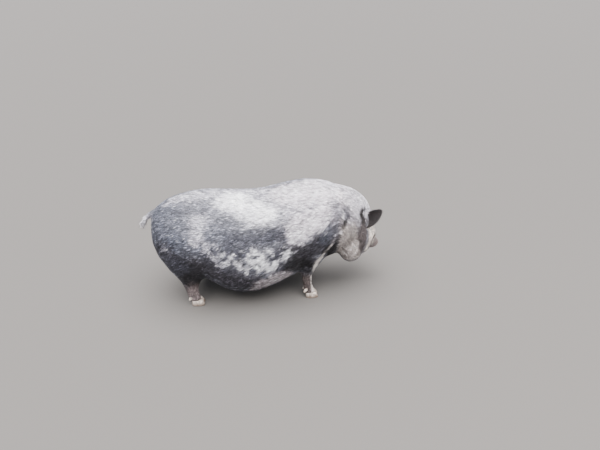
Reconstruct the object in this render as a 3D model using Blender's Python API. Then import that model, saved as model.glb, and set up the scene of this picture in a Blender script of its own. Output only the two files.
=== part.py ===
# A heavy pot-bellied pig standing on four short legs, head lowered and turned to its left.
# Lengths are in metres. The body faces +X, +Z is up, and the hooves stand on z = 0.
# One smooth form is modelled whole and then parted by thin cuts into named pieces.

import bpy
import bmesh
import math
from mathutils import Matrix, Vector
from mathutils.bvhtree import BVHTree

# Overall settings

FLOOR = 0.009
SHIFT = Vector((-0.0592, 0.0, -FLOOR))
CUT = 0.0005
BODY_VOXEL = 0.0085
HEAD_VOXEL = 0.0048
BODY_TRIANGLES = 6500
HEAD_TRIANGLES = 4500
RING_POINTS = 32
X_AXIS = Vector((1.0, 0.0, 0.0))
Y_AXIS = Vector((0.0, 1.0, 0.0))
Z_AXIS = Vector((0.0, 0.0, 1.0))

# Torso stations: distance along the body, top, bottom, half width

TORSO = [
    (-0.455, 0.390, 0.300, 0.045),
    (-0.441, 0.435, 0.240, 0.095),
    (-0.412, 0.469, 0.190, 0.140),
    (-0.360, 0.494, 0.160, 0.178),
    (-0.290, 0.510, 0.150, 0.206),
    (-0.220, 0.517, 0.128, 0.220),
    (-0.170, 0.515, 0.080, 0.228),
    (-0.120, 0.512, 0.045, 0.233),
    (-0.060, 0.507, 0.028, 0.236),
    (0.000, 0.504, 0.030, 0.235),
    (0.060, 0.509, 0.044, 0.229),
    (0.120, 0.525, 0.070, 0.219),
    (0.180, 0.541, 0.102, 0.206),
    (0.240, 0.551, 0.132, 0.192),
    (0.300, 0.550, 0.158, 0.178),
    (0.350, 0.539, 0.188, 0.158),
    (0.395, 0.516, 0.225, 0.130),
    (0.430, 0.480, 0.275, 0.090),
]
BELLY_FULLNESS = 2.2

# Neck stations: centre, half width, half height

NECK = [
    ((0.280, 0.000, 0.350), 0.170, 0.190),
    ((0.350, 0.000, 0.354), 0.156, 0.178),
    ((0.405, 0.004, 0.352), 0.141, 0.165),
    ((0.450, 0.010, 0.344), 0.120, 0.148),
    ((0.490, 0.018, 0.332), 0.099, 0.122),
    ((0.520, 0.026, 0.316), 0.074, 0.088),
]

# Head frame: middle of the face's root, turn to the left, nod down

FACE_ROOT = Vector((0.548, 0.046, 0.345))
HEAD_TURN = math.radians(35.0)
HEAD_NOD = math.radians(67.0)
SNOUT_TIP = 0.183
SNOUT = [
    (0.030, -0.045, 0.064, 0.052),
    (0.070, -0.047, 0.059, 0.047),
    (0.100, -0.046, 0.055, 0.042),
    (0.128, -0.040, 0.051, 0.038),
    (0.150, -0.033, 0.047, 0.036),
    (0.165, -0.028, 0.046, 0.036),
    (0.173, -0.025, 0.049, 0.039),
    (SNOUT_TIP, -0.023, 0.045, 0.035),
]
JAW = [
    (0.000, -0.095, 0.055, 0.050),
    (0.050, -0.100, 0.054, 0.044),
    (0.095, -0.098, 0.046, 0.034),
    (0.128, -0.092, 0.037, 0.025),
    (0.150, -0.086, 0.029, 0.018),
    (0.160, -0.083, 0.018, 0.010),
]

# Round forms of the skull in the head's frame: place along, aside and over, then half sizes

SKULL = ((-0.020, 0.0, -0.052), (0.084, 0.078, 0.072))
BROW = ((0.024, 0.0, -0.034), (0.050, 0.055, 0.036))
CHEEK = ((0.030, 0.046, -0.074), (0.074, 0.046, 0.060))
BAG = ((0.082, 0.040, -0.106), (0.060, 0.036, 0.054))

# Round forms of the throat, the jowls and the sides of the face: centre, then half sizes

THROAT = [
    ((0.452, 0.000, 0.250), (0.070, 0.098, 0.088)),
    ((0.458, -0.045, 0.233), (0.064, 0.070, 0.088)),
    ((0.458, 0.046, 0.238), (0.062, 0.068, 0.084)),
    ((0.492, -0.026, 0.285), (0.062, 0.078, 0.088)),
    ((0.486, 0.052, 0.285), (0.066, 0.074, 0.086)),
]

# Eyes and lids: the sink is a share of the eye's radius

EYE_RADIUS = 0.0132
EYE_SINK = 0.84
LID_HALF = 0.0178
LID_RISE = 0.0094
LID_DROP = 0.0080
LID_SINK = 0.0010
UPPER_LID = 0.0046
LOWER_LID = 0.0036
LID_POINTS = 12
EYE_PLACE = (0.056, -0.052)
POUCH = [(-0.020, 0.012), (0.004, -0.018), (0.026, -0.012)]
POUCH_DEPTH = 0.0035
POUCH_WIDTH = 0.0060

# Mouth: reach along the face, height and radius; lips: offset, depth, width

MOUTH = [
    (0.158, -0.064, 0.0016),
    (0.145, -0.069, 0.0020),
    (0.125, -0.074, 0.0022),
    (0.104, -0.077, 0.0022),
    (0.084, -0.077, 0.0020),
    (0.068, -0.072, 0.0010),
]
LIPS = [(0.0, 0.0050, 0.0050), (0.011, -0.0034, 0.0070), (-0.011, -0.0026, 0.0065)]
MOUTH_PROUD = 0.0006

# Nostrils: reach out of the disc and radius

NOSTRIL = [(0.010, 0.0096), (0.000, 0.0088), (-0.010, 0.0066), (-0.018, 0.0036)]
NOSTRIL_FLAT = 0.74
NOSTRIL_SPREAD = 0.0175
NOSTRIL_OVER = -0.018

# Ears

EAR_LENGTH = 0.106
EAR_BASE = (-0.040, -0.057)
EAR_DEPTH = 0.006
EAR_AIM = (0.72, -0.10, 0.70)
EAR_MOUTH = (-0.45, -0.85, 0.30)
EAR_WIDTH = 0.045
EAR_THICKNESS = 0.0052
EAR_ROOT = 0.018
EAR_LEAN = 0.010
EAR_ROOT_CURL = math.radians(205.0)
EAR_UNCURL = math.radians(130.0)
EAR_GRID = 7

# Cuts that part head, neck and torso

HEAD_CUT_POINT = Vector((0.425, 0.005, 0.350))
HEAD_CUT_NORMAL = Vector((0.97, 0.10, -0.10)).normalized()
NECK_CUT_POINT = Vector((0.345, 0.0, 0.350))
NECK_CUT_NORMAL = Vector((0.98, 0.0, 0.10)).normalized()

# Folds of skin: points on the right side, depth, half width, and whether the left side has it too

FOLDS = [
    ([(0.290, -0.180, 0.365), (0.264, -0.186, 0.305), (0.236, -0.176, 0.250), (0.212, -0.145, 0.200)],
     0.009, 0.015, True),
    ([(-0.270, -0.200, 0.275), (-0.226, -0.196, 0.220), (-0.205, -0.180, 0.185), (-0.185, -0.145, 0.145)],
     0.010, 0.016, True),
    ([(0.430, -0.105, 0.485), (0.424, -0.128, 0.410), (0.414, -0.122, 0.345), (0.400, -0.095, 0.270)],
     0.010, 0.014, False),
    ([(0.412, 0.118, 0.460), (0.408, 0.136, 0.380), (0.404, 0.118, 0.300)], 0.007, 0.014, False),
]

# Leg joints: centre x, height, half size along, half size across

FORE_LEG = [
    (0.270, 0.410, 0.060, 0.036),
    (0.273, 0.340, 0.086, 0.052),
    (0.272, 0.255, 0.070, 0.052),
    (0.249, 0.195, 0.044, 0.042),
    (0.240, 0.150, 0.027, 0.030),
    (0.239, 0.115, 0.0230, 0.0255),
    (0.242, 0.080, 0.0215, 0.0225),
    (0.247, 0.055, 0.0230, 0.0240),
    (0.253, 0.038, 0.0260, 0.0262),
    (0.257, 0.020, 0.0250, 0.0260),
]
HIND_LEG = [
    (-0.325, 0.410, 0.070, 0.050),
    (-0.325, 0.340, 0.096, 0.070),
    (-0.310, 0.268, 0.098, 0.076),
    (-0.292, 0.210, 0.080, 0.064),
    (-0.289, 0.163, 0.056, 0.048),
    (-0.292, 0.122, 0.036, 0.034),
    (-0.292, 0.088, 0.0275, 0.0270),
    (-0.288, 0.058, 0.0260, 0.0250),
    (-0.281, 0.038, 0.0270, 0.0265),
    (-0.276, 0.020, 0.0260, 0.0260),
]
LEG_Y = 0.118
FAR_FORE_SHIFT = -0.030
FAR_HIND_SHIFT = 0.060

# Leg cutters: centre, size and lean, laid along the fold behind the elbow and before the thigh

FORE_BOX = ((0.300, 0.160, 0.120), (0.170, 0.200, 0.300), math.radians(24.0))
HIND_BOX = ((-0.345, 0.170, 0.120), (0.280, 0.230, 0.300), math.radians(-16.0))

# Feet: toe stations are height, reach forward and share of the width

SOLE_GAP = FLOOR + 0.0280
CLAW_SPREAD = 0.0136
DEWCLAW_BACK = 0.020
DEWCLAW_HEIGHT = 0.056
DEWCLAW_AIM = (-0.62, 6.0, -0.78)
DEWCLAW = [(-0.008, 0.0088), (0.006, 0.0082), (0.016, 0.0062), (0.021, 0.0030)]
TOE_BACK = 0.023
TOE_HALF = 0.0125
TOE = [
    (0.0000, 0.036, 0.96),
    (0.0050, 0.037, 1.00),
    (0.0160, 0.032, 1.00),
    (0.0274, 0.024, 0.94),
]

# Tail and its tuft: a lock's stations are share of its reach, stand-off and radius

TAIL = [
    (-0.422, 0.000, 0.437),
    (-0.447, 0.000, 0.427),
    (-0.465, 0.004, 0.413),
    (-0.479, 0.010, 0.396),
    (-0.487, 0.018, 0.380),
]
TAIL_RADII = [0.017, 0.0145, 0.0118, 0.0094, 0.0072]
TUFT_LOCKS = 9
LOCK = [(0.0, 0.0, 0.0035), (0.35, 0.0050, 0.0046), (0.70, 0.0075, 0.0034), (1.0, 0.0060, 0.0009)]
LOCK_ROOT = 0.022
LOCK_ROOT_STEP = 0.006
LOCK_REACH = 0.046
LOCK_REACH_STEP = 0.007

# Colours of the plain solids

HIDE_GREY = (0.22, 0.22, 0.24)
EAR_BROWN = (0.06, 0.05, 0.05)
TAIL_GREY = (0.50, 0.49, 0.48)
EYE_BROWN = (0.03, 0.02, 0.015)
HORN_PALE = (0.55, 0.46, 0.36)


def clear_scene():
    for old in list(bpy.data.objects):
        bpy.data.objects.remove(old, do_unlink=True)


def new_object(name, mesh_data):
    piece = bpy.data.objects.new(name, mesh_data)
    bpy.context.scene.collection.objects.link(piece)
    return piece


def from_bmesh(name, shape):
    bmesh.ops.recalc_face_normals(shape, faces=shape.faces[:])
    data = bpy.data.meshes.new(name)
    shape.to_mesh(data)
    shape.free()
    return new_object(name, data)


def rename(piece, name):
    piece.name = name
    piece.data.name = name
    return piece


def ring(shape, centre, across, over, half_across, half_over, fullness=2.0, points=RING_POINTS):
    """One closed ring of vertices: a superellipse around centre in the plane of two directions."""
    verts = []
    for step in range(points):
        angle = math.tau * step / points
        c = math.cos(angle)
        s = math.sin(angle)
        u = math.copysign(abs(c) ** (2.0 / fullness), c) * half_across
        v = math.copysign(abs(s) ** (2.0 / fullness), s) * half_over
        verts.append(shape.verts.new(centre + across * u + over * v))
    return [shape.edges.new((verts[i], verts[(i + 1) % points])) for i in range(points)]


def loft(name, stations, smooth=0):
    """A closed tube through rings, each given as centre, two directions, two half sizes and more."""
    shape = bmesh.new()
    loops = [ring(shape, *station) for station in stations]
    for first, second in zip(loops, loops[1:]):
        bmesh.ops.bridge_loops(shape, edges=first + second)
    for end in (loops[0], loops[-1]):
        bmesh.ops.edgeloop_fill(shape, edges=end)
    piece = from_bmesh(name, shape)
    if smooth:
        rounder = piece.modifiers.new("rounder", "SUBSURF")
        rounder.levels = smooth
        rounder.render_levels = smooth
        apply_modifiers(piece)
    return piece


def ball(name, centre, radii, frame=None, fine=3):
    """An ellipsoid with its own axes along the columns of frame."""
    shape = bmesh.new()
    bmesh.ops.create_icosphere(shape, subdivisions=fine, radius=1.0)
    turn = frame.to_4x4() if frame else Matrix.Identity(4)
    place = Matrix.Translation(centre) @ turn @ Matrix.Diagonal((*radii, 1.0))
    bmesh.ops.transform(shape, matrix=place, verts=shape.verts[:])
    return from_bmesh(name, shape)


def path_tube(name, path, radii, points=8, across=None, flat=1.0):
    """A tube along a path of points, one radius for each; flat thins it across one direction."""
    stations = []
    for index, point in enumerate(path):
        before = path[max(index - 1, 0)]
        after = path[min(index + 1, len(path) - 1)]
        run = (after - before).normalized()
        guide = across if across else Z_AXIS
        if abs(guide.dot(run)) > 0.95:
            guide = Y_AXIS
        over = run.cross(guide).normalized()
        side = over.cross(run).normalized()
        stations.append((point, side, over, radii[index], radii[index] * flat, 2.0, points))
    return loft(name, stations)


def apply_modifiers(piece):
    graph = bpy.context.evaluated_depsgraph_get()
    data = bpy.data.meshes.new_from_object(piece.evaluated_get(graph))
    piece.modifiers.clear()
    piece.data = data


def join(name, pieces):
    """One object from several, still overlapping each other."""
    shape = bmesh.new()
    for piece in pieces:
        shape.from_mesh(piece.data)
    for piece in pieces:
        bpy.data.objects.remove(piece, do_unlink=True)
    data = bpy.data.meshes.new(name)
    shape.to_mesh(data)
    shape.free()
    return new_object(name, data)


def fuse(piece, voxel, rounds, soft_rounds, triangles, face=False):
    """One smooth closed skin around everything that the object holds, thinned to a triangle count."""
    wrap = piece.modifiers.new("wrap", "REMESH")
    wrap.mode = "VOXEL"
    wrap.voxel_size = voxel
    apply_modifiers(piece)
    soft = piece.vertex_groups.new(name="soft")
    for vertex in piece.data.vertices:
        soft.add([vertex.index], softness(vertex.co), "REPLACE")
    for group, count in (("", rounds), ("soft", soft_rounds)):
        relax = piece.modifiers.new("relax", "SMOOTH")
        relax.factor = 0.5
        relax.iterations = count
        relax.vertex_group = group
    apply_modifiers(piece)
    piece.vertex_groups.clear()
    press_folds(piece, face)
    faces = sum(len(face.vertices) - 2 for face in piece.data.polygons)
    thin = piece.modifiers.new("thin", "DECIMATE")
    thin.ratio = min(1.0, triangles / faces)
    apply_modifiers(piece)


def press_folds(piece, face):
    """Pushes the skin inward along each fold, deepest on the line itself, and outward on a lip."""
    normals = [vertex.normal.copy() for vertex in piece.data.vertices]
    lines = face_lines(surface_finder(piece)) if face else []
    for points, depth, width, both in FOLDS:
        lines.append(([Vector(p) for p in points], depth, width))
        if both:
            lines.append(([Vector((p[0], -p[1], p[2])) for p in points], depth, width))
    for vertex, normal in zip(piece.data.vertices, normals):
        push = 0.0
        for points, depth, width in lines:
            gap, along = line_distance(vertex.co, points)
            if gap < 3.0 * width:
                push += depth * math.exp(-((gap / width) ** 2)) * math.sin(math.pi * along) ** 0.7
        vertex.co -= normal * push


def face_lines(finder):
    """The mouth's crease with a lip on each side of it, and the pouch under each eye."""
    lines = []
    for side in (-1, 1):
        for offset, depth, width in LIPS:
            hits = [side_point(finder, reach, over + offset, side)[0] for reach, over, radius in MOUTH]
            lines.append(([hit for hit in hits if hit], depth, width))
        arc = []
        for reach, over in POUCH:
            arc.append(side_point(finder, EYE_PLACE[0] + reach, EYE_PLACE[1] + over, side)[0])
        lines.append((arc, POUCH_DEPTH, POUCH_WIDTH))
    return lines


def line_distance(place, points):
    """Distance from a place to a bent line, and how far along the line that is from 0 to 1."""
    best = 1.0
    along = 0.0
    count = len(points) - 1
    for index in range(count):
        first = points[index]
        run = points[index + 1] - first
        share = max(0.0, min(1.0, (place - first).dot(run) / run.length_squared))
        gap = (place - (first + run * share)).length
        if gap < best:
            best = gap
            along = (index + share) / count
    return best, along


def softness(place):
    """How far a place may be relaxed: the snout and the feet keep their edges."""
    from_snout = (place - on_head(SNOUT_TIP, 0.0, -0.02)).length
    low = (place.z - 0.10) / 0.08
    return max(0.0, min(1.0, (from_snout - 0.055) / 0.07, low))


def copy_of(piece, name):
    return new_object(name, piece.data.copy())


def largest_shell(piece):
    """Keeps the biggest closed surface of a piece and drops any splinter."""
    shape = bmesh.new()
    shape.from_mesh(piece.data)
    shape.faces.ensure_lookup_table()
    seen = set()
    best = []
    for face in shape.faces:
        if face.index in seen:
            continue
        group = [face]
        seen.add(face.index)
        for member in group:
            for edge in member.edges:
                for other in edge.link_faces:
                    if other.index not in seen:
                        seen.add(other.index)
                        group.append(other)
        if len(group) > len(best):
            best = group
    keep = set(best)
    bmesh.ops.delete(shape, geom=[f for f in shape.faces if f not in keep], context="FACES")
    loose = [v for v in shape.verts if not v.link_faces]
    bmesh.ops.delete(shape, geom=loose, context="VERTS")
    bmesh.ops.triangulate(shape, faces=shape.faces[:])
    bmesh.ops.dissolve_degenerate(shape, edges=shape.edges[:], dist=0.00005)
    bmesh.ops.triangulate(shape, faces=shape.faces[:])
    shape.to_mesh(piece.data)
    shape.free()


def combine(piece, tools, operation, keep_tools=False):
    """A Boolean of one piece with each of several tools."""
    for tool in tools:
        step = piece.modifiers.new("step", "BOOLEAN")
        step.operation = operation
        step.solver = "EXACT"
        step.object = tool
        apply_modifiers(piece)
    if not keep_tools:
        for tool in tools:
            bpy.data.objects.remove(tool, do_unlink=True)
    largest_shell(piece)
    return piece


def swollen(piece, name, amount):
    """A copy with its surface pushed outward by a small amount."""
    copy = copy_of(piece, name)
    push = copy.modifiers.new("push", "DISPLACE")
    push.strength = amount
    push.mid_level = 0.0
    apply_modifiers(copy)
    return copy


def slab(name, centre, turn, size):
    """A box cutter with its own turn."""
    shape = bmesh.new()
    bmesh.ops.create_cube(shape, size=1.0)
    place = Matrix.Translation(centre) @ turn.to_4x4() @ Matrix.Diagonal((*size, 1.0))
    bmesh.ops.transform(shape, matrix=place, verts=shape.verts[:])
    return from_bmesh(name, shape)


def half_space(piece, point, normal):
    """Keeps what lies behind a plane and closes the cut."""
    shape = bmesh.new()
    shape.from_mesh(piece.data)
    geom = shape.verts[:] + shape.edges[:] + shape.faces[:]
    cut = bmesh.ops.bisect_plane(shape, geom=geom, plane_co=point, plane_no=normal, clear_outer=True)
    rim = [item for item in cut["geom_cut"] if isinstance(item, bmesh.types.BMEdge)]
    bmesh.ops.contextual_create(shape, geom=rim)
    bmesh.ops.triangulate(shape, faces=shape.faces[:])
    bmesh.ops.recalc_face_normals(shape, faces=shape.faces[:])
    shape.to_mesh(piece.data)
    shape.free()


# Head frame: the columns are along the face, to its right and out of its brow

def head_axes():
    turn_x = math.cos(HEAD_TURN)
    turn_y = math.sin(HEAD_TURN)
    level = math.cos(HEAD_NOD)
    fall = math.sin(HEAD_NOD)
    forward = Vector((level * turn_x, level * turn_y, -fall))
    over = Vector((fall * turn_x, fall * turn_y, level))
    right = forward.cross(over)
    return Matrix((forward, right, over)).transposed()


HEAD = head_axes()
FORWARD = HEAD.col[0].copy()
RIGHT = HEAD.col[1].copy()
OVER = HEAD.col[2].copy()


def on_head(forward, right, over):
    """A point of the head's own frame, in world metres."""
    return FACE_ROOT + FORWARD * forward + RIGHT * right + OVER * over


def head_ball(name, place, radii, fine=3):
    return ball(name, on_head(*place), radii, HEAD, fine)


# Forms that are fused into the skin

def torso_form():
    stations = []
    for x, top, bottom, half in TORSO:
        centre = X_AXIS * x + Z_AXIS * ((top + bottom) / 2)
        stations.append((centre, Y_AXIS, Z_AXIS, half, (top - bottom) / 2, BELLY_FULLNESS))
    return loft("torso_form", stations, 2)


def neck_form():
    stations = []
    for index, (point, half, height) in enumerate(NECK):
        before = Vector(NECK[max(index - 1, 0)][0])
        after = Vector(NECK[min(index + 1, len(NECK) - 1)][0])
        run = (after - before).normalized()
        side = Z_AXIS.cross(run).normalized()
        stations.append((Vector(point), side, run.cross(side), half, height))
    return loft("neck_form", stations, 2)


def limb_form(name, joints, side, shift):
    stations = []
    for index, (x, height, along, across) in enumerate(joints):
        before = joints[max(index - 1, 0)]
        after = joints[min(index + 1, len(joints) - 1)]
        run = Vector((after[0] - before[0], 0.0, after[1] - before[1])).normalized()
        lean = shift * min(1.0, max(0.0, (0.30 - height) / 0.20))
        inward = 1.0 - 2.2 * max(0.0, height - 0.30)
        centre = Vector((x + lean, LEG_Y * side * inward, height))
        stations.append((centre, run.cross(Y_AXIS), Y_AXIS, along, across, 2.2))
    return loft(name, stations, 2)


def head_forms():
    forms = [head_ball("skull_form", *SKULL), head_ball("brow_form", *BROW)]
    for centre, radii in THROAT:
        forms.append(ball("throat_form", Vector(centre), radii))
    for side in (-1, 1):
        for name, (place, radii) in (("cheek_form", CHEEK), ("bag_form", BAG)):
            forms.append(head_ball(name, (place[0], place[1] * side, place[2]), radii))
    stations = []
    for reach, drop, half, height in SNOUT:
        stations.append((on_head(reach, 0.0, drop), RIGHT, OVER, half, height, 2.3))
    forms.append(loft("snout_form", stations, 1))
    stations = []
    for reach, drop, half, height in JAW:
        stations.append((on_head(reach, 0.0, drop), RIGHT, OVER, half, height, 2.2))
    forms.append(loft("jaw_form", stations, 1))
    return forms


def leg_forms():
    forms = []
    for side, fore, hind in ((-1, 0.0, 0.0), (1, FAR_FORE_SHIFT, FAR_HIND_SHIFT)):
        forms.append(limb_form("fore_form", FORE_LEG, side, fore))
        forms.append(limb_form("hind_form", HIND_LEG, side, hind))
    return forms


# Surface helpers

def surface_finder(piece):
    return BVHTree.FromPolygons(
        [v.co.copy() for v in piece.data.vertices],
        [tuple(face.vertices) for face in piece.data.polygons],
    )


def skin_point(finder, start, direction):
    """Where a ray from outside meets the surface, and the surface normal there."""
    place, normal, index, distance = finder.ray_cast(start, direction)
    return place, normal


def side_point(finder, forward, over, side):
    """The head's surface seen from one side, at a place along the face and out of the brow."""
    return skin_point(finder, on_head(forward, 0.30 * side, over), -RIGHT * side)


# Face details

def mouth_tools(finder):
    """Cutters for the line of the mouth, a narrow groove between the lips on each side."""
    tools = []
    for side in (-1, 1):
        path = []
        radii = []
        for reach, over, radius in MOUTH:
            place, normal = side_point(finder, reach, over, side)
            path.append(place + normal * MOUTH_PROUD)
            radii.append(radius)
        tools.append(path_tube("mouth_cut", path, radii, 6, OVER))
    return tools


def nostril_tools(finder):
    tools = []
    for side in (-1, 1):
        start = on_head(SNOUT_TIP + 0.05, NOSTRIL_SPREAD * side, NOSTRIL_OVER)
        place, normal = skin_point(finder, start, -FORWARD)
        path = [place + FORWARD * reach for reach, radius in NOSTRIL]
        radii = [radius for reach, radius in NOSTRIL]
        tools.append(path_tube("nostril_cut", path, radii, 12, RIGHT, NOSTRIL_FLAT))
    return tools


def eye_frame(finder, side):
    place, normal = side_point(finder, EYE_PLACE[0], EYE_PLACE[1], side)
    slit = (FORWARD - normal * FORWARD.dot(normal)).normalized()
    return place, normal, slit


def lid_ring(finder, side):
    """An almond ring of skin around the eye, thicker above."""
    place, normal, slit = eye_frame(finder, side)
    rise = normal.cross(slit).normalized()
    if rise.dot(OVER) < 0.0:
        rise = -rise
    path = []
    radii = []
    for step in range(LID_POINTS):
        angle = math.tau * step / LID_POINTS
        lift = math.sin(angle)
        height = LID_RISE if lift > 0.0 else LID_DROP
        along = slit * (LID_HALF * math.cos(angle))
        path.append(place + along + rise * (height * lift) - normal * LID_SINK)
        radii.append(UPPER_LID if lift > 0.0 else LOWER_LID)
    return closed_tube("lid_form", path, radii, 6)


def closed_tube(name, path, radii, points):
    """A ring-shaped tube through a closed path."""
    shape = bmesh.new()
    middle = sum(path, Vector()) / len(path)
    loops = []
    for index, point in enumerate(path):
        run = (path[(index + 1) % len(path)] - path[index - 1]).normalized()
        out = (point - middle)
        out = (out - run * out.dot(run)).normalized()
        loops.append(ring(shape, point, out, run.cross(out), radii[index], radii[index], 2.0, points))
    for index, first in enumerate(loops):
        bmesh.ops.bridge_loops(shape, edges=first + loops[(index + 1) % len(loops)])
    return from_bmesh(name, shape)


# Ears

def ear_piece(finder, side):
    """A leaf bent into a cup, its mouth turned outward and back, with a thick root."""
    surface, normal = side_point(finder, EAR_BASE[0], EAR_BASE[1], side)
    base = surface - normal * EAR_DEPTH
    aim = mirrored(EAR_AIM, side).normalized()
    mouth = mirrored(EAR_MOUTH, side)
    mouth = (mouth - aim * mouth.dot(aim)).normalized()
    width = aim.cross(mouth).normalized()
    shape = bmesh.new()
    outer = []
    for row in range(EAR_GRID):
        t = row / (EAR_GRID - 1)
        half = EAR_WIDTH * (math.sin(math.pi * (0.28 + 0.70 * t) ** 0.85) ** 0.75)
        wrap = EAR_ROOT_CURL - EAR_UNCURL * t ** 0.8
        radius = 2.0 * half / wrap
        line = []
        for column in range(EAR_GRID):
            angle = wrap * (column / (EAR_GRID - 1) - 0.5)
            around = width * (math.sin(angle) * radius) + mouth * ((1.0 - math.cos(angle)) * radius)
            lean = mouth * (EAR_LEAN * t * t)
            line.append(shape.verts.new(base + aim * (EAR_LENGTH * t - EAR_ROOT) + around + lean))
        outer.append(line)
    for low, high in zip(outer, outer[1:]):
        for column in range(EAR_GRID - 1):
            shape.faces.new((low[column], low[column + 1], high[column + 1], high[column]))
    ear = from_bmesh("ear_form", shape)
    thick = ear.modifiers.new("thick", "SOLIDIFY")
    thick.thickness = EAR_THICKNESS
    thick.offset = 0.0
    round_off = ear.modifiers.new("round", "SUBSURF")
    round_off.levels = 1
    round_off.render_levels = 1
    thin = ear.modifiers.new("thin", "DECIMATE")
    thin.ratio = 0.6
    apply_modifiers(ear)
    return ear


def mirrored(direction, side):
    """A direction given for the right side of the head, in world axes, or its mirror image."""
    vector = Vector(direction)
    if side > 0:
        return vector
    return vector - RIGHT * (2.0 * vector.dot(RIGHT))


# Feet

def toe_piece(name, x, y, spread):
    """One claw of the cloven hoof: flat sole, steep back, sloping front."""
    stations = []
    for height, front, share in TOE:
        middle = x + (front - TOE_BACK) / 2.0
        centre = Vector((middle, y + spread * (1.0 - 4.0 * height), height + FLOOR))
        reach = (front + TOE_BACK) / 2.0
        stations.append((centre, X_AXIS, Y_AXIS, reach, TOE_HALF * share, 2.4, 12))
    return loft(name, stations)


def dewclaw_piece(name, x, y, spread, height):
    """A small blunt claw behind the pastern that points down and back."""
    start = Vector((x, y + spread, height))
    run = Vector((DEWCLAW_AIM[0], spread * DEWCLAW_AIM[1], DEWCLAW_AIM[2])).normalized()
    path = [start + run * reach for reach, radius in DEWCLAW]
    return path_tube(name, path, [radius for reach, radius in DEWCLAW], 8, Y_AXIS)


# Tail

def tail_piece():
    """A straight tail with a tuft of flat tapered locks at its end."""
    tail = path_tube("tail", [Vector(p) for p in TAIL], TAIL_RADII, 12, Y_AXIS)
    tip = Vector(TAIL[-1])
    run = (tip - Vector(TAIL[-3])).normalized()
    locks = []
    for index in range(TUFT_LOCKS):
        turn = math.tau * index / TUFT_LOCKS
        out = (Y_AXIS * math.cos(turn) + run.cross(Y_AXIS) * math.sin(turn)).normalized()
        root = tip - run * (LOCK_ROOT + LOCK_ROOT_STEP * (index % 3))
        reach = LOCK_REACH + LOCK_REACH_STEP * (index % 2)
        path = [root + run * (reach * share) + out * stand for share, stand, radius in LOCK]
        lock = path_tube("lock", path, [radius for share, stand, radius in LOCK], 6, out)
        locks.append(lock)
    return combine(tail, locks, "UNION")


# Materials

def paint(piece, name, colour, roughness, metallic=0.0):
    skin = bpy.data.materials.get(name)
    if skin is None:
        skin = bpy.data.materials.new(name)
        skin.use_nodes = True
        shader = skin.node_tree.nodes["Principled BSDF"]
        shader.inputs["Base Color"].default_value = (*colour, 1.0)
        shader.inputs["Roughness"].default_value = roughness
        shader.inputs["Metallic"].default_value = metallic
        skin.diffuse_color = (*colour, 1.0)
    piece.data.materials.clear()
    piece.data.materials.append(skin)


def leg_box(side, front, shift):
    """The cutter that parts one leg from the body, its rear or front face laid along the fold."""
    centre, size, lean = FORE_BOX if front else HIND_BOX
    turn = Matrix.Rotation(lean, 3, "Y")
    place = Vector((centre[0] + shift * 0.5, centre[1] * side, centre[2]))
    return slab("leg_cut", place, turn, Vector(size))


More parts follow.
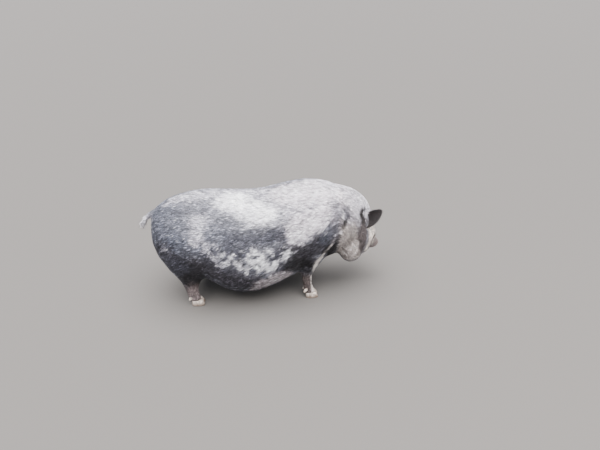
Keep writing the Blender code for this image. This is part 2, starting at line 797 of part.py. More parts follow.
def main():
    clear_scene()
    forms = [torso_form(), neck_form()] + head_forms() + leg_forms()
    whole = join("whole_form", forms)
    fuse(whole, BODY_VOXEL, 4, 16, BODY_TRIANGLES)
    head_whole = join("head_whole", [torso_form(), neck_form()] + head_forms())
    fuse(head_whole, HEAD_VOXEL, 6, 50, 44000, True)
    ear_guard = swollen(head_whole, "ear_guard", CUT)

    head = rename(head_whole, "head")
    half_space(head, HEAD_CUT_POINT + HEAD_CUT_NORMAL * (CUT / 2), -HEAD_CUT_NORMAL)
    thin = head.modifiers.new("thin", "DECIMATE")
    thin.ratio = HEAD_TRIANGLES / sum(len(f.vertices) - 2 for f in head.data.polygons)
    apply_modifiers(head)
    finder = surface_finder(head)
    lids = [lid_ring(finder, side) for side in (-1, 1)]
    eyes = []
    sockets = []
    for side, name in ((1, "eye_right"), (-1, "eye_left")):
        place, normal, _ = eye_frame(finder, side)
        middle = place - normal * (EYE_RADIUS * EYE_SINK)
        eyes.append(ball(name, middle, (EYE_RADIUS,) * 3, None, 3))
        sockets.append(ball("socket", middle, (EYE_RADIUS + CUT,) * 3, None, 3))
    ears = []
    for side, name in ((1, "ear_right"), (-1, "ear_left")):
        ears.append(rename(ear_piece(finder, side), name))
    mouth = mouth_tools(finder)
    nostrils = nostril_tools(finder)
    combine(head, lids, "UNION")
    combine(head, mouth + nostrils + sockets, "DIFFERENCE")
    for ear in ears:
        combine(ear, [ear_guard], "DIFFERENCE", True)
    bpy.data.objects.remove(ear_guard, do_unlink=True)

    body = whole
    half_space(body, HEAD_CUT_POINT - HEAD_CUT_NORMAL * (CUT / 2), HEAD_CUT_NORMAL)
    neck = copy_of(body, "neck")
    half_space(neck, NECK_CUT_POINT + NECK_CUT_NORMAL * (CUT / 2), -NECK_CUT_NORMAL)
    half_space(body, NECK_CUT_POINT - NECK_CUT_NORMAL * (CUT / 2), NECK_CUT_NORMAL)
    torso = rename(body, "torso")

    legs = []
    claws = []
    boxes = []
    for side, place in ((-1, "right"), (1, "left")):
        for front, end in ((True, "fore"), (False, "hind")):
            shift = 0.0 if side < 0 else (FAR_FORE_SHIFT if front else FAR_HIND_SHIFT)
            box = leg_box(side, front, shift)
            leg = copy_of(torso, end + "leg_" + place)
            combine(leg, [box], "INTERSECT", True)
            half_space(leg, Vector((0.0, 0.0, SOLE_GAP)), -Z_AXIS)
            boxes.append(swollen(box, "box_guard", CUT))
            bpy.data.objects.remove(box, do_unlink=True)
            foot_x = (FORE_LEG if front else HIND_LEG)[-1][0] + shift
            y = LEG_Y * side
            pockets = []
            for away, rank in ((-1, "inner"), (1, "outer")):
                spread = away * side * CLAW_SPREAD
                claws.append(toe_piece("%s_%s_toe_%s" % (end, place, rank), foot_x, y, spread))
                name = "%s_%s_dewclaw_%s" % (end, place, rank)
                claw = dewclaw_piece(name, foot_x - DEWCLAW_BACK, y, spread, DEWCLAW_HEIGHT)
                claws.append(claw)
                pockets.append(swollen(claw, "pocket", CUT))
            combine(leg, pockets, "DIFFERENCE")
            legs.append(leg)
    combine(torso, boxes, "DIFFERENCE")
    tail = tail_piece()
    guard = swollen(torso, "guard", CUT)
    combine(tail, [guard], "DIFFERENCE")

    for piece in [torso, neck, head] + legs:
        paint(piece, "hide", HIDE_GREY, 0.75)
    for piece in ears:
        paint(piece, "ear", EAR_BROWN, 0.75)
    paint(tail, "tail", TAIL_GREY, 0.75)
    for piece in eyes:
        paint(piece, "eye", EYE_BROWN, 0.15)
    for piece in claws:
        paint(piece, "horn", HORN_PALE, 0.6)
    total = 0
    for piece in bpy.data.objects:
        piece.data.transform(Matrix.Translation(SHIFT))
        piece.data.name = piece.name
        count = sum(len(f.vertices) - 2 for f in piece.data.polygons)
        total += count
        print(piece.name, count)
    print("triangles", total)


main()
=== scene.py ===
# %% [markdown]
# # A grizzled pot-bellied pig
# A stout pig stands with its head down and turned a little aside. It is one body, so the
# scene is one skin over the solids of the frame, a bristle coat on it, two eyes and the
# horn of the feet. First the frame is loaded.

# %% The frame
import math
import time

import bmesh
import bpy
import numpy as np
from mathutils import Matrix, Vector
from mathutils.bvhtree import BVHTree


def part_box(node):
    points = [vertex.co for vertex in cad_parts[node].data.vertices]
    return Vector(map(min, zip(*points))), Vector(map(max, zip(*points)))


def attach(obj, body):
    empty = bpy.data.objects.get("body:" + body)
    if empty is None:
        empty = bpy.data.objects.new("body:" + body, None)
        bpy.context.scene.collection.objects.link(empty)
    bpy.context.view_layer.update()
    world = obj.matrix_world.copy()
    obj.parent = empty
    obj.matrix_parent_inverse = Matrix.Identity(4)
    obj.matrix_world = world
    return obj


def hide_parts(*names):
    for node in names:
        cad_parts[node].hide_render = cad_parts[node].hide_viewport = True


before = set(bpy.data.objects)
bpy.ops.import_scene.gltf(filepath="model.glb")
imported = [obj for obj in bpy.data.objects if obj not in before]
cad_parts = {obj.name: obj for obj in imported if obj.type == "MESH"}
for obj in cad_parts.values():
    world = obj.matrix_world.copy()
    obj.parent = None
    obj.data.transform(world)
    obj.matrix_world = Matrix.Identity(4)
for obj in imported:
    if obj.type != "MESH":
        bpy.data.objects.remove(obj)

began = time.time()
bpy.context.view_layer.update()

# %% [markdown]
# ## Names for the parts
# The near side of the pig is its right side, which faces -Y. The axes of the head come
# first, because the lie of the coat, the folds of the face and the markings all use
# them. The head is nodded down and turned aside, so its axes are slanted.

# %% The parts and the axes of the head
SIDES = ("right", "left")
LEGS = [f"{end}leg_{side}" for end in ("fore", "hind") for side in SIDES]
EARS = [f"ear_{side}" for side in SIDES]
FLESH = ["torso", "neck", "head", "tail"] + LEGS + EARS
CLAWS = sorted(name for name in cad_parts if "toe" in name or "dewclaw" in name)

HEAD_ROOT = Vector((0.4888, 0.046, 0.336))
HEAD_TURN = math.radians(35)
HEAD_NOD = math.radians(67)
FORWARD = Vector((
    math.cos(HEAD_NOD) * math.cos(HEAD_TURN),
    math.cos(HEAD_NOD) * math.sin(HEAD_TURN),
    -math.sin(HEAD_NOD),
))
RIGHT = Vector((math.sin(HEAD_TURN), -math.cos(HEAD_TURN), 0))
OVER = RIGHT.cross(FORWARD)
print("claws", len(CLAWS), "over the brow", [round(c, 3) for c in OVER])


def head_place(along, aside, over):
    """The point of the head that lies so far along the muzzle, aside and over it."""
    return HEAD_ROOT + FORWARD * along + RIGHT * aside + OVER * over


def node_middle(name):
    """The middle of a solid's box."""
    low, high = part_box(name)
    return (Vector(low) + Vector(high)) / 2


# %% [markdown]
# ## Small helpers
# Every piece is a mesh at the origin with its place in its vertices, so a few helpers
# turn a bmesh into a piece that rides on the body. Most steps work on all the vertices
# at once, so others pass their places to numpy and back.

# %% Making a piece and reading its points
def mesh_from(shape, name):
    """A mesh from a bmesh, which is used up."""
    mesh = bpy.data.meshes.new(name)
    shape.to_mesh(mesh)
    shape.free()
    return mesh


def placed(name, data):
    """An object in the scene for a mesh, a lamp or a camera."""
    thing = bpy.data.objects.new(name, data)
    bpy.context.scene.collection.objects.link(thing)
    return thing


def to_piece(shape, name, material, solid):
    """A finished object from a bmesh, riding on the pig in place of one solid."""
    piece = placed(name, mesh_from(shape, name))
    piece.data.materials.append(material)
    piece.data.shade_smooth()
    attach(piece, "root")
    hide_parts(solid)
    return piece


def points_of(mesh):
    """The places of a mesh's vertices as rows."""
    flat = np.empty(len(mesh.vertices) * 3, np.float32)
    mesh.vertices.foreach_get("co", flat)
    return flat.reshape(-1, 3).astype(float)


def normals_of(mesh):
    """The directions in which a mesh's vertices face, as rows."""
    flat = np.empty(len(mesh.vertices) * 3, np.float32)
    mesh.vertices.foreach_get("normal", flat)
    return flat.reshape(-1, 3).astype(float)


def put_points(mesh, points):
    """Moves a mesh's vertices to these rows."""
    mesh.vertices.foreach_set("co", np.asarray(points, np.float32).ravel())
    mesh.update()


def apply_modifiers(piece):
    """Bakes a piece's modifiers into its mesh."""
    depsgraph = bpy.context.evaluated_depsgraph_get()
    finished = bpy.data.meshes.new_from_object(piece.evaluated_get(depsgraph))
    piece.modifiers.clear()
    old = piece.data
    piece.data = finished
    bpy.data.meshes.remove(old)


def round_off(piece):
    """Rounds a piece by one level of smooth subdivision."""
    rounding = piece.modifiers.new("rounding", "SUBSURF")
    rounding.levels = 1
    rounding.render_levels = 1
    apply_modifiers(piece)


def smoothstep(low, high, value):
    """0 below low, 1 above high and an even slope between, also with low above high."""
    t = np.clip((value - low) / (high - low), 0, 1)
    return t * t * (3 - 2 * t)


def blend(rows, other, share):
    """Rows drawn towards another value, each by its own share."""
    return rows + (other - rows) * share[:, None]


# %% [markdown]
# ## The camera
# The camera is held at a standing height beside the near flank and looks down at the pig
# through a short lens. Its place and slope come from fitting the outline of the solids to
# the picture. It comes first, so that every later step can be looked at.

# %% Camera, light and floor
EYE_LEVEL = Vector((-0.0690, -1.9686, 1.391))
SIGHT = Vector((0.1027, 0.8741, -0.4747)).normalized()
LENS = 28.8
SENSOR = 36.0
MIDRIFF = (0, 0, 0.3)
CEILING_TOWARD = (0.06, 0.16, -1.0)
CEILING_POWER = 20.5
CEILING_SPREAD = 75
CEILING_TINT = (1.0, 0.99, 1.0)
FRONT_PLACE = (1.9, -2.4, 1.4)
FRONT_SIZE = 2.0
FRONT_POWER = 44
FRONT_TINT = (1.0, 0.98, 0.96)
STUDIO_TINT = (0.86, 0.9, 1.0, 1)
STUDIO_POWER = 1.0
FLOOR_REACH = 60.0

lens = bpy.data.cameras.new("lens")
lens.lens = LENS
lens.sensor_width = SENSOR
camera = placed("camera", lens)
camera.location = EYE_LEVEL
camera.rotation_euler = SIGHT.to_track_quat("-Z", "Y").to_euler()
bpy.context.scene.camera = camera


def softbox(name, place, aim, size, power, tint):
    """A square lamp that shines from a place at a point."""
    light = bpy.data.lights.new(name, "AREA")
    light.size = size
    light.energy = power
    light.color = tint
    lamp = placed(name, light)
    lamp.location = place
    lamp.rotation_euler = (Vector(aim) - Vector(place)).to_track_quat("-Z", "Y").to_euler()


def skylight(name, toward, strength, spread, tint):
    """A very wide soft sun, like a lit studio ceiling, so that the floor stays even."""
    light = bpy.data.lights.new(name, "SUN")
    light.energy = strength
    light.angle = math.radians(spread)
    light.color = tint
    lamp = placed(name, light)
    lamp.rotation_euler = Vector(toward).to_track_quat("-Z", "Y").to_euler()


skylight("ceiling_light", CEILING_TOWARD, CEILING_POWER, CEILING_SPREAD, CEILING_TINT)
softbox("front_light", FRONT_PLACE, MIDRIFF, FRONT_SIZE, FRONT_POWER, FRONT_TINT)

world = bpy.data.worlds.new("studio")
world.use_nodes = True
world.node_tree.nodes["Background"].inputs["Color"].default_value = STUDIO_TINT
world.node_tree.nodes["Background"].inputs["Strength"].default_value = STUDIO_POWER
bpy.context.scene.world = world

ground = bmesh.new()
bmesh.ops.create_grid(ground, x_segments=1, y_segments=1, size=FLOOR_REACH)
floor = placed("floor", mesh_from(ground, "floor"))
print("camera at", [round(c, 3) for c in EYE_LEVEL])

# %% [markdown]
# ## One skin over the flesh
# The solids are parted at the neck, the legs, the ears and the tail, and a real hide is
# not. It could be sculpted anew, but then it would drift from the solids. Instead a copy
# of each solid is merged, swollen a hair so that the thin cuts close, rounded where its
# facets show, and all copies are melted into one surface by a voxel remesh.

# %% Copies of the solids, melted together
SWELL = 0.0009
SKIN_VOXEL = 0.0026
HARD_EDGE = math.radians(42)
WELD = 1e-5


def rounded_copy(name):
    """A merged copy of a solid with its facets rounded and its cut rims kept sharp."""
    copy = bmesh.new()
    copy.from_mesh(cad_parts[name].data)
    bmesh.ops.remove_doubles(copy, verts=copy.verts, dist=WELD)
    copy.normal_update()
    for vert in copy.verts:
        vert.co += vert.normal * SWELL
    crease = copy.edges.layers.float.new("crease_edge")
    for edge in copy.edges:
        if len(edge.link_faces) == 2 and edge.calc_face_angle() > HARD_EDGE:
            edge[crease] = 1.0
    piece = placed("rounded", mesh_from(copy, "rounded"))
    round_off(piece)
    return piece


melt = bmesh.new()
for name in FLESH:
    part = rounded_copy(name)
    melt.from_mesh(part.data)
    bpy.data.objects.remove(part)
skin = placed("skin", mesh_from(melt, "skin"))
remesh = skin.modifiers.new("melt", "REMESH")
remesh.mode = "VOXEL"
remesh.voxel_size = SKIN_VOXEL
apply_modifiers(skin)
print("melted skin", len(skin.data.vertices), "vertices,", round(time.time() - began, 1), "s")

# %% [markdown]
# ## Where on the animal a point lies
# The smoothing, the coat and the markings differ from place to place: long soft runs on
# the barrel of the body, crisp ones on the face, the ears and the feet. So a few masks
# say how much a point belongs to each. They are worked out from the solids' own boxes.

# %% Masks for the head, the ears, the legs and the tail
FACE_ALONG = (-0.03, 0.05)
FACE_REACH = (0.10, 0.17)
HEAD_MARGIN = 0.03
LEG_MARGIN = 0.02
LEG_TOP = (0.11, 0.19)
TAIL_MARGIN = 0.012
EAR_BLEND = 0.007


def head_parts(points):
    """How far points lie along the muzzle, aside and over it, as three rows."""
    frame_rows = np.array([FORWARD, RIGHT, OVER])
    return (points - np.array(HEAD_ROOT)) @ frame_rows.T


def near_box(points, name, margin):
    """1 inside a solid's box and falling to 0 at a margin outside it."""
    low, high = (np.array(corner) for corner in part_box(name))
    outside = np.maximum(np.maximum(low - points, points - high), 0)
    return 1 - smoothstep(0, margin, np.linalg.norm(outside, axis=1))


def face_mask(points):
    """1 on the muzzle, the eyes and the mouth."""
    along, aside, over = head_parts(points).T
    reach = np.sqrt(aside ** 2 + over ** 2)
    return smoothstep(*FACE_ALONG, along) * (1 - smoothstep(*FACE_REACH, reach))


def head_mask(points):
    """1 on the head with its jowls."""
    return near_box(points, "head", HEAD_MARGIN)


ear_trees = {}
for name in EARS:
    ear_shape = bmesh.new()
    ear_shape.from_mesh(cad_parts[name].data)
    ear_trees[name] = BVHTree.FromBMesh(ear_shape)
    ear_shape.free()


def ear_mask(points):
    """1 on both ears, falling to 0 where they grow from the head."""
    mask = np.zeros(len(points))
    for name, tree in ear_trees.items():
        for index in np.flatnonzero(near_box(points, name, EAR_BLEND) > 0.05):
            gap = tree.find_nearest(Vector(points[index]))[-1]
            mask[index] = max(mask[index], 1 - gap / EAR_BLEND)
    return smoothstep(0, 1, mask)


def leg_mask(points):
    """1 on the legs below the body."""
    near = np.max([near_box(points, name, LEG_MARGIN) for name in LEGS], axis=0)
    return near * (1 - smoothstep(*LEG_TOP, points[:, 2]))


def tail_mask(points):
    """1 on the tail."""
    return near_box(points, "tail", TAIL_MARGIN)


def strongest(points, head=0, face=0, ear=0, leg=0, tail=0):
    """The greatest of the masks at each point, each taken by its own share."""
    shares = ((head, head_mask), (face, face_mask), (ear, ear_mask), (leg, leg_mask),
              (tail, tail_mask))
    return np.max([share * mask(points) for share, mask in shares if share], axis=0)


# %% [markdown]
# ## Smoothing and setting back
# A melted skin shows fine steps. Each vertex is drawn towards the middle of its
# neighbours, many times on the barrel and few on the face, so the lids and the lips stay.
# Then the skin is set back by the depth of the coat, which will fill that space again.

# %% The skin smoothed and set back
def edges_of(mesh):
    """The two ends of every edge."""
    flat = np.empty(len(mesh.edges) * 2, np.int32)
    mesh.edges.foreach_get("vertices", flat)
    return flat.reshape(-1, 2)


def neighbour_mean(values, edges, counts):
    """For each vertex the mean of a row of values over its neighbours."""
    total = np.zeros_like(values)
    for column in range(values.shape[1]):
        total[:, column] += np.bincount(edges[:, 0], values[edges[:, 1], column], len(values))
        total[:, column] += np.bincount(edges[:, 1], values[edges[:, 0], column], len(values))
    return total / counts[:, None]


def relax(points, edges, weight, rounds):
    """Draws points towards their neighbours, each by its own weight."""
    counts = np.maximum(np.bincount(edges.ravel(), minlength=len(points)), 1)
    for _ in range(rounds):
        points = points + (neighbour_mean(points, edges, counts) - points) * weight[:, None]
    return points


BODY_ROUNDS = 36
COAT_DEPTH = 0.0042
SWELL_TAKEN = 0.6
places = points_of(skin.data)
skin_edges = edges_of(skin.data)
stiff = strongest(places, head=0.5, face=0.86, ear=0.94, leg=0.84, tail=0.88)
places = relax(places, skin_edges, 0.5 * (1 - stiff), BODY_ROUNDS)
put_points(skin.data, places)


def coat_depth(points):
    """How deep the bristles lie over the skin."""
    bare = strongest(points, head=0.62, face=0.85, ear=0.95, leg=0.62, tail=0.8)
    return COAT_DEPTH * (1 - bare) + SWELL * SWELL_TAKEN


set_back = coat_depth(places)
places = places - normals_of(skin.data) * set_back[:, None]
put_points(skin.data, places)
print("skin smoothed,", round(time.time() - began, 1), "s")

# %% [markdown]
# ## Clouds for everything uneven
# Folds, markings and hair are never even on an animal. A cloud is smooth noise between
# -1 and 1 whose blobs have a chosen size in metres. It is worked out for all points at
# once from hashed lattice corners, so it is quick and the same in every run.

# %% Smooth noise over many points
LATTICE = (73856093, 19349663, 83492791)
HASH_MIX = 0x45D9F3B
SEED_STEP = 668265263
WORD = 0xFFFFFFFF
HALF_WORD = 0xFFFF


def corner_value(cell, seed):
    """A fixed value between -1 and 1 for each lattice corner."""
    mixed = (cell[:, 0] * LATTICE[0]) ^ (cell[:, 1] * LATTICE[1]) ^ (cell[:, 2] * LATTICE[2])
    mixed = (mixed ^ (seed * SEED_STEP)) & WORD
    for shift in (16, 15):
        mixed = ((mixed ^ (mixed >> shift)) * HASH_MIX) & WORD
    return ((mixed ^ (mixed >> 16)) & HALF_WORD) / (HALF_WORD / 2) - 1


def cloud(points, size, seed):
    """Smooth noise between -1 and 1 with blobs of that size, which may differ by axis."""
    scaled = points / np.asarray(size, float)
    cell = np.floor(scaled).astype(np.int64)
    part = scaled - cell
    part = part * part * (3 - 2 * part)
    total = np.zeros(len(points))
    for corner in np.ndindex(2, 2, 2):
        weight = np.prod(np.where(corner, part, 1 - part), axis=1)
        total += weight * corner_value(cell + np.array(corner), seed)
    return total


def rough_cloud(points, size, seed, layers=3):
    """Noise with finer and fainter layers on it."""
    total = sum(cloud(points, np.asarray(size) / 2 ** n, seed + n) / 2 ** n for n in range(layers))
    return total / sum(1 / 2 ** n for n in range(layers))


print("a cloud spans", np.round(np.ptp(cloud(places[::50], 0.05, 1)), 2))

# %% [markdown]
# ## Folds of the hide
# A fat pig is creased wherever it bends: rings round the snout, bags round the eyes, a
# frown between the brows, deep bands behind the jowl, and folds over the hocks and the
# elbows. Each is a wave along one direction, pushed in or out along the normals, faded
# by a mask and made uneven by a cloud.

# %% Waves that crease the skin
FOLD_LEVEL = 0.6


def crease(distance, spacing, sharpness=0.5, level=FOLD_LEVEL):
    """A row of rounded folds with narrow furrows, which lie below 0."""
    return np.abs(np.sin(math.pi * distance / spacing)) ** sharpness - level


def band(value, middle, half):
    """1 at the middle of a band and 0 outside it."""
    return 1 - smoothstep(0, half, np.abs(value - middle))


def line_gap(points, start, end):
    """How far points lie from the line between two ends."""
    start, way = np.array(start), np.array(end) - np.array(start)
    share = np.clip((points - start) @ way / (way @ way), 0, 1)
    return np.linalg.norm(points - start - share[:, None] * way, axis=1)


MOUTH_LINES = (
    ((0.158, 0.0194, -0.064), (0.145, 0.0210, -0.069), (0.125, 0.0409, -0.074),
     (0.104, 0.0595, -0.078), (0.094, 0.0655, -0.085)),
    ((0.158, -0.0198, -0.064), (0.145, -0.0221, -0.069), (0.125, -0.0540, -0.074),
     (0.104, -0.0902, -0.078), (0.094, -0.0965, -0.085)),
)
NOSTRILS = ((0.0175, -0.018), (-0.0175, -0.018))
NOSTRIL_WIDE = 0.0088
NOSTRIL_TALL = 0.0080
NOSTRIL_SINK = 0.0080
NOSTRIL_RIM = 0.0012
NOSTRIL_FLOOR = 0.120
MOUTH_SINK = 0.0024
DISC_START = 0.150
EYES = [node_middle(f"eye_{side}") for side in SIDES]
FACE_FOLDS = 0.0026
EYE_FOLDS = 0.0030
NECK_FOLDS = 0.0032
JOINT_FOLDS = 0.0030
DISC_FOLD = 0.0016
FAT = 0.0022
GRAIN = 0.00035
FURROW_SHADE = 0.50
SNOUT_SPACING = 0.0145
EYE_SPACING = 0.0085
BROW_SPACING = 0.019
NECK_SPACING = 0.036
JOINT_SPACING = 0.017
NECK_BACK = 0.30
# Where the folds lie, as the middle and the half width of a band.
SNOUT_BAND = (0.105, 0.06)
EYE_BAND = (0.031, 0.019)
BROW_BAND = (-0.005, 0.06)
BROW_SIDES = (0.0, 0.075)
NECK_BAND = (0.012, 0.06)
HOCK_BAND = (0.155, 0.055)
ELBOW_BAND = (0.150, 0.05)
FETLOCK_BAND = (0.055, 0.025)
LIP_BAND = (0.0060, 0.0045)
DISC_BAND = (DISC_START - 0.002, 0.006)
SLIT = (0.0008, 0.0040)


def snout_folds(points):
    """Rings that cross the bridge of the nose, deepest half way up."""
    along, aside, over = head_parts(points).T
    sway = 0.005 * cloud(points, 0.03, 11) + 0.12 * np.abs(aside)
    rings = crease(along + sway, SNOUT_SPACING)
    upper = smoothstep(-0.05, 0.0, over + 0.02)
    return rings * band(along, *SNOUT_BAND) * upper * (0.7 + 0.3 * cloud(points, 0.02, 12))


def eye_gap(points):
    """How far points lie from the middle of the nearer eye."""
    return np.min([np.linalg.norm(points - np.array(eye), axis=1) for eye in EYES], axis=0)


def eye_folds(points):
    """Bags and wrinkles that ring each eye, widest below it."""
    total = np.zeros(len(points))
    for eye in EYES:
        away = points - np.array(eye)
        gap = np.linalg.norm(away, axis=1)
        sway = 0.004 * cloud(points, 0.022, 13)
        rings = crease(gap + sway, EYE_SPACING)
        total += rings * band(gap, *EYE_BAND) * (0.65 + 0.35 * cloud(points, 0.018, 14))
    return total


def brow_folds(points):
    """A frown of long furrows from the brow up to the poll."""
    along, aside, over = head_parts(points).T
    waves = crease(aside + 0.006 * cloud(points, 0.04, 15), BROW_SPACING)
    upper = smoothstep(-0.05, -0.01, over) * band(along, *BROW_BAND)
    return waves * upper * band(aside, *BROW_SIDES)


def neck_folds(points):
    """Bands of fat that hang round the neck behind the jowls."""
    x, y, z = points.T
    lean = x - NECK_BACK + 0.16 * (z - 0.35) + 0.012 * cloud(points, 0.09, 16)
    waves = crease(lean, NECK_SPACING, 0.6, level=0.65)
    sides = smoothstep(0.05, 0.12, np.abs(y)) * (1 - smoothstep(0.47, 0.52, z))
    return waves * band(lean, *NECK_BAND) * sides


def joint_folds(points):
    """Folds over the hocks, the elbows and the fetlocks."""
    x, y, z = points.T
    tilt = z + 0.25 * x + 0.006 * cloud(points, 0.03, 17)
    waves = crease(tilt, JOINT_SPACING, 0.6)
    hind = band(z, *HOCK_BAND) * smoothstep(-0.20, -0.28, x)
    fore = band(z, *ELBOW_BAND) * smoothstep(0.10, 0.14, x) * (1 - smoothstep(0.24, 0.27, x))
    ankle = 0.5 * band(z, *FETLOCK_BAND) * leg_mask(points)
    return waves * (np.maximum(hind, 0.7 * fore) * (np.abs(y) > 0.03) + ankle)


def mouth_gap(points):
    """How far points lie from the slit of the mouth."""
    rows = head_parts(points)
    gap = np.full(len(points), 1.0)
    near = np.flatnonzero((rows[:, 0] > 0.04) & (rows[:, 2] < -0.04))
    for line in MOUTH_LINES:
        for start, end in zip(line, line[1:]):
            gap[near] = np.minimum(gap[near], line_gap(rows[near], start, end))
    return gap


def nostril_depth(points):
    """1 in the middle of each nostril and 0 outside it."""
    along, aside, over = head_parts(points).T
    depth = np.zeros(len(points))
    for middle, height in NOSTRILS:
        reach = np.hypot((aside - middle) / NOSTRIL_WIDE, (over - height) / NOSTRIL_TALL)
        depth = np.maximum(depth, 1 - smoothstep(0.50, 1.05, reach))
    return depth * (along > NOSTRIL_FLOOR)


def muzzle_relief(points):
    """The slit of the mouth between two lips, and the fold behind the disc of the snout."""
    along, aside, over = head_parts(points).T
    gap = mouth_gap(points)
    lips = 0.5 * band(gap, *LIP_BAND) - (1 - smoothstep(*SLIT, gap))
    behind = band(along, *DISC_BAND) * smoothstep(-0.06, -0.05, over)
    return (MOUTH_SINK * lips - DISC_FOLD * behind) * face_mask(points)


def furrow(points):
    """1 at the bottom of a furrow and 0 on the folds, for the shade that gathers there."""
    waves = snout_folds(points) + brow_folds(points) + eye_folds(points)
    waves += 0.6 * neck_folds(points) + 0.8 * joint_folds(points)
    return np.clip(-2.0 * waves, 0, 1)


def relief(points):
    """How far each point of the skin rises or sinks."""
    wide = rough_cloud(points, 0.13, 18, 2)
    fine = cloud(points, (0.012, 0.02, 0.009), 19)
    body = 1 - strongest(points, face=1, ear=1, leg=1)
    return (
        FACE_FOLDS * (snout_folds(points) + brow_folds(points))
        + EYE_FOLDS * eye_folds(points)
        + NECK_FOLDS * neck_folds(points)
        + JOINT_FOLDS * joint_folds(points)
        + FAT * wide * body
        + GRAIN * fine
        + muzzle_relief(points)
    )


places = places + normals_of(skin.data) * relief(places)[:, None]
put_points(skin.data, places)
print("skin creased,", round(time.time() - began, 1), "s")

# %% [markdown]
# ## Fewer faces where the hide is plain
# The melted skin has far more faces than the barrel needs, and a piece stays under two
# hundred thousand. Decimate takes them away, and a vertex group keeps it off the face,
# the ears and the feet.

# %% The skin thinned
SKIN_TRIANGLES = 138_000
FINE_SHARE = 0.97
FINE_LEVELS = 10

fine = skin.vertex_groups.new(name="fine")
keep_fine = strongest(places, head=0.5, face=1, ear=1, leg=0.8, tail=1)
for level in range(FINE_LEVELS + 1):
    chosen = np.flatnonzero(np.round(keep_fine * FINE_LEVELS) == level)
    fine.add(chosen.tolist(), 1 - FINE_SHARE * level / FINE_LEVELS, "REPLACE")
thin = skin.modifiers.new("thin", "DECIMATE")
thin.ratio = SKIN_TRIANGLES / (2 * len(skin.data.polygons))
thin.vertex_group = "fine"
thin.vertex_group_factor = 1.0
thin.use_collapse_triangulate = True
apply_modifiers(skin)
skin.vertex_groups.clear()
skin.data.shade_smooth()
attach(skin, "root")
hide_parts(*FLESH)
places = points_of(skin.data)
print("skin", len(skin.data.polygons), "triangles, on the face",
      int((face_mask(places) > 0.5).sum()), "vertices,", round(time.time() - began, 1), "s")

# %% [markdown]
# ## Lids drawn over the eyes, and open nostrils
# The solids leave a round hole in front of each eye. On the animal the opening is a small
# almond, and the lids are the same skin, drawn over the ball. So the skin near each eye is
# cut finer, and its points slide towards the eye's axis until the rim of the hole lies on
# the almond. There they ride on the ball, with a crease over the upper lid. The nostrils
# are narrower than the faces of the skin as well, so the skin is cut finer there too.

# %% Finer skin, the lids and the nostrils
EYE_RADIUS = 0.0130
LID_ZONE = 0.024
FINE_ZONE = 0.0245
OPENING_HALF = 0.0090
OPENING_RISE = 0.0054
OPENING_DROP = 0.0042
LID_THICK = 0.0012
LID_WIDTH = 0.0052
LID_GAP = 0.0002
CREASE_DEPTH = 0.0011
CREASE_WIDTH = 0.0011
WRINKLE_DEPTH = 0.00045
WRINKLE_SPACING = 0.0031
WRINKLE_BAND = (0.011, 0.007)
FRONT_FADE = (-0.002, 0.004)
OUTER_FADE = (0.1, 0.5)
EVENED_FADE = (0.020, 0.028)
EVENED = 0.35
TINY = 1e-6
SECTORS = 36
DISC_FRONT = 0.176
NOSTRIL_ZONE = 0.013


def gaze_axes(side):
    """Where an eye looks, the way along its slit, and the way up across it."""
    to_side = 1 if side == "right" else -1
    gaze = (RIGHT * to_side * 0.92 + FORWARD * 0.24 + OVER * 0.26).normalized()
    slit = (FORWARD - gaze * FORWARD.dot(gaze)).normalized()
    rise = gaze.cross(slit) * -to_side
    return np.array(gaze), np.array(slit), np.array(rise)


def cut_finer(mesh, middle, reach):
    """Cuts each edge of the faces near a point in four."""
    shape = bmesh.new()
    shape.from_mesh(mesh)
    near = [face for face in shape.faces if (face.calc_center_median() - middle).length < reach]
    edges = list({edge for face in near for edge in face.edges})
    bmesh.ops.subdivide_edges(shape, edges=edges, cuts=3, use_grid_fill=True)
    bmesh.ops.triangulate(shape, faces=[face for face in shape.faces if len(face.verts) > 3])
    shape.to_mesh(mesh)
    shape.free()


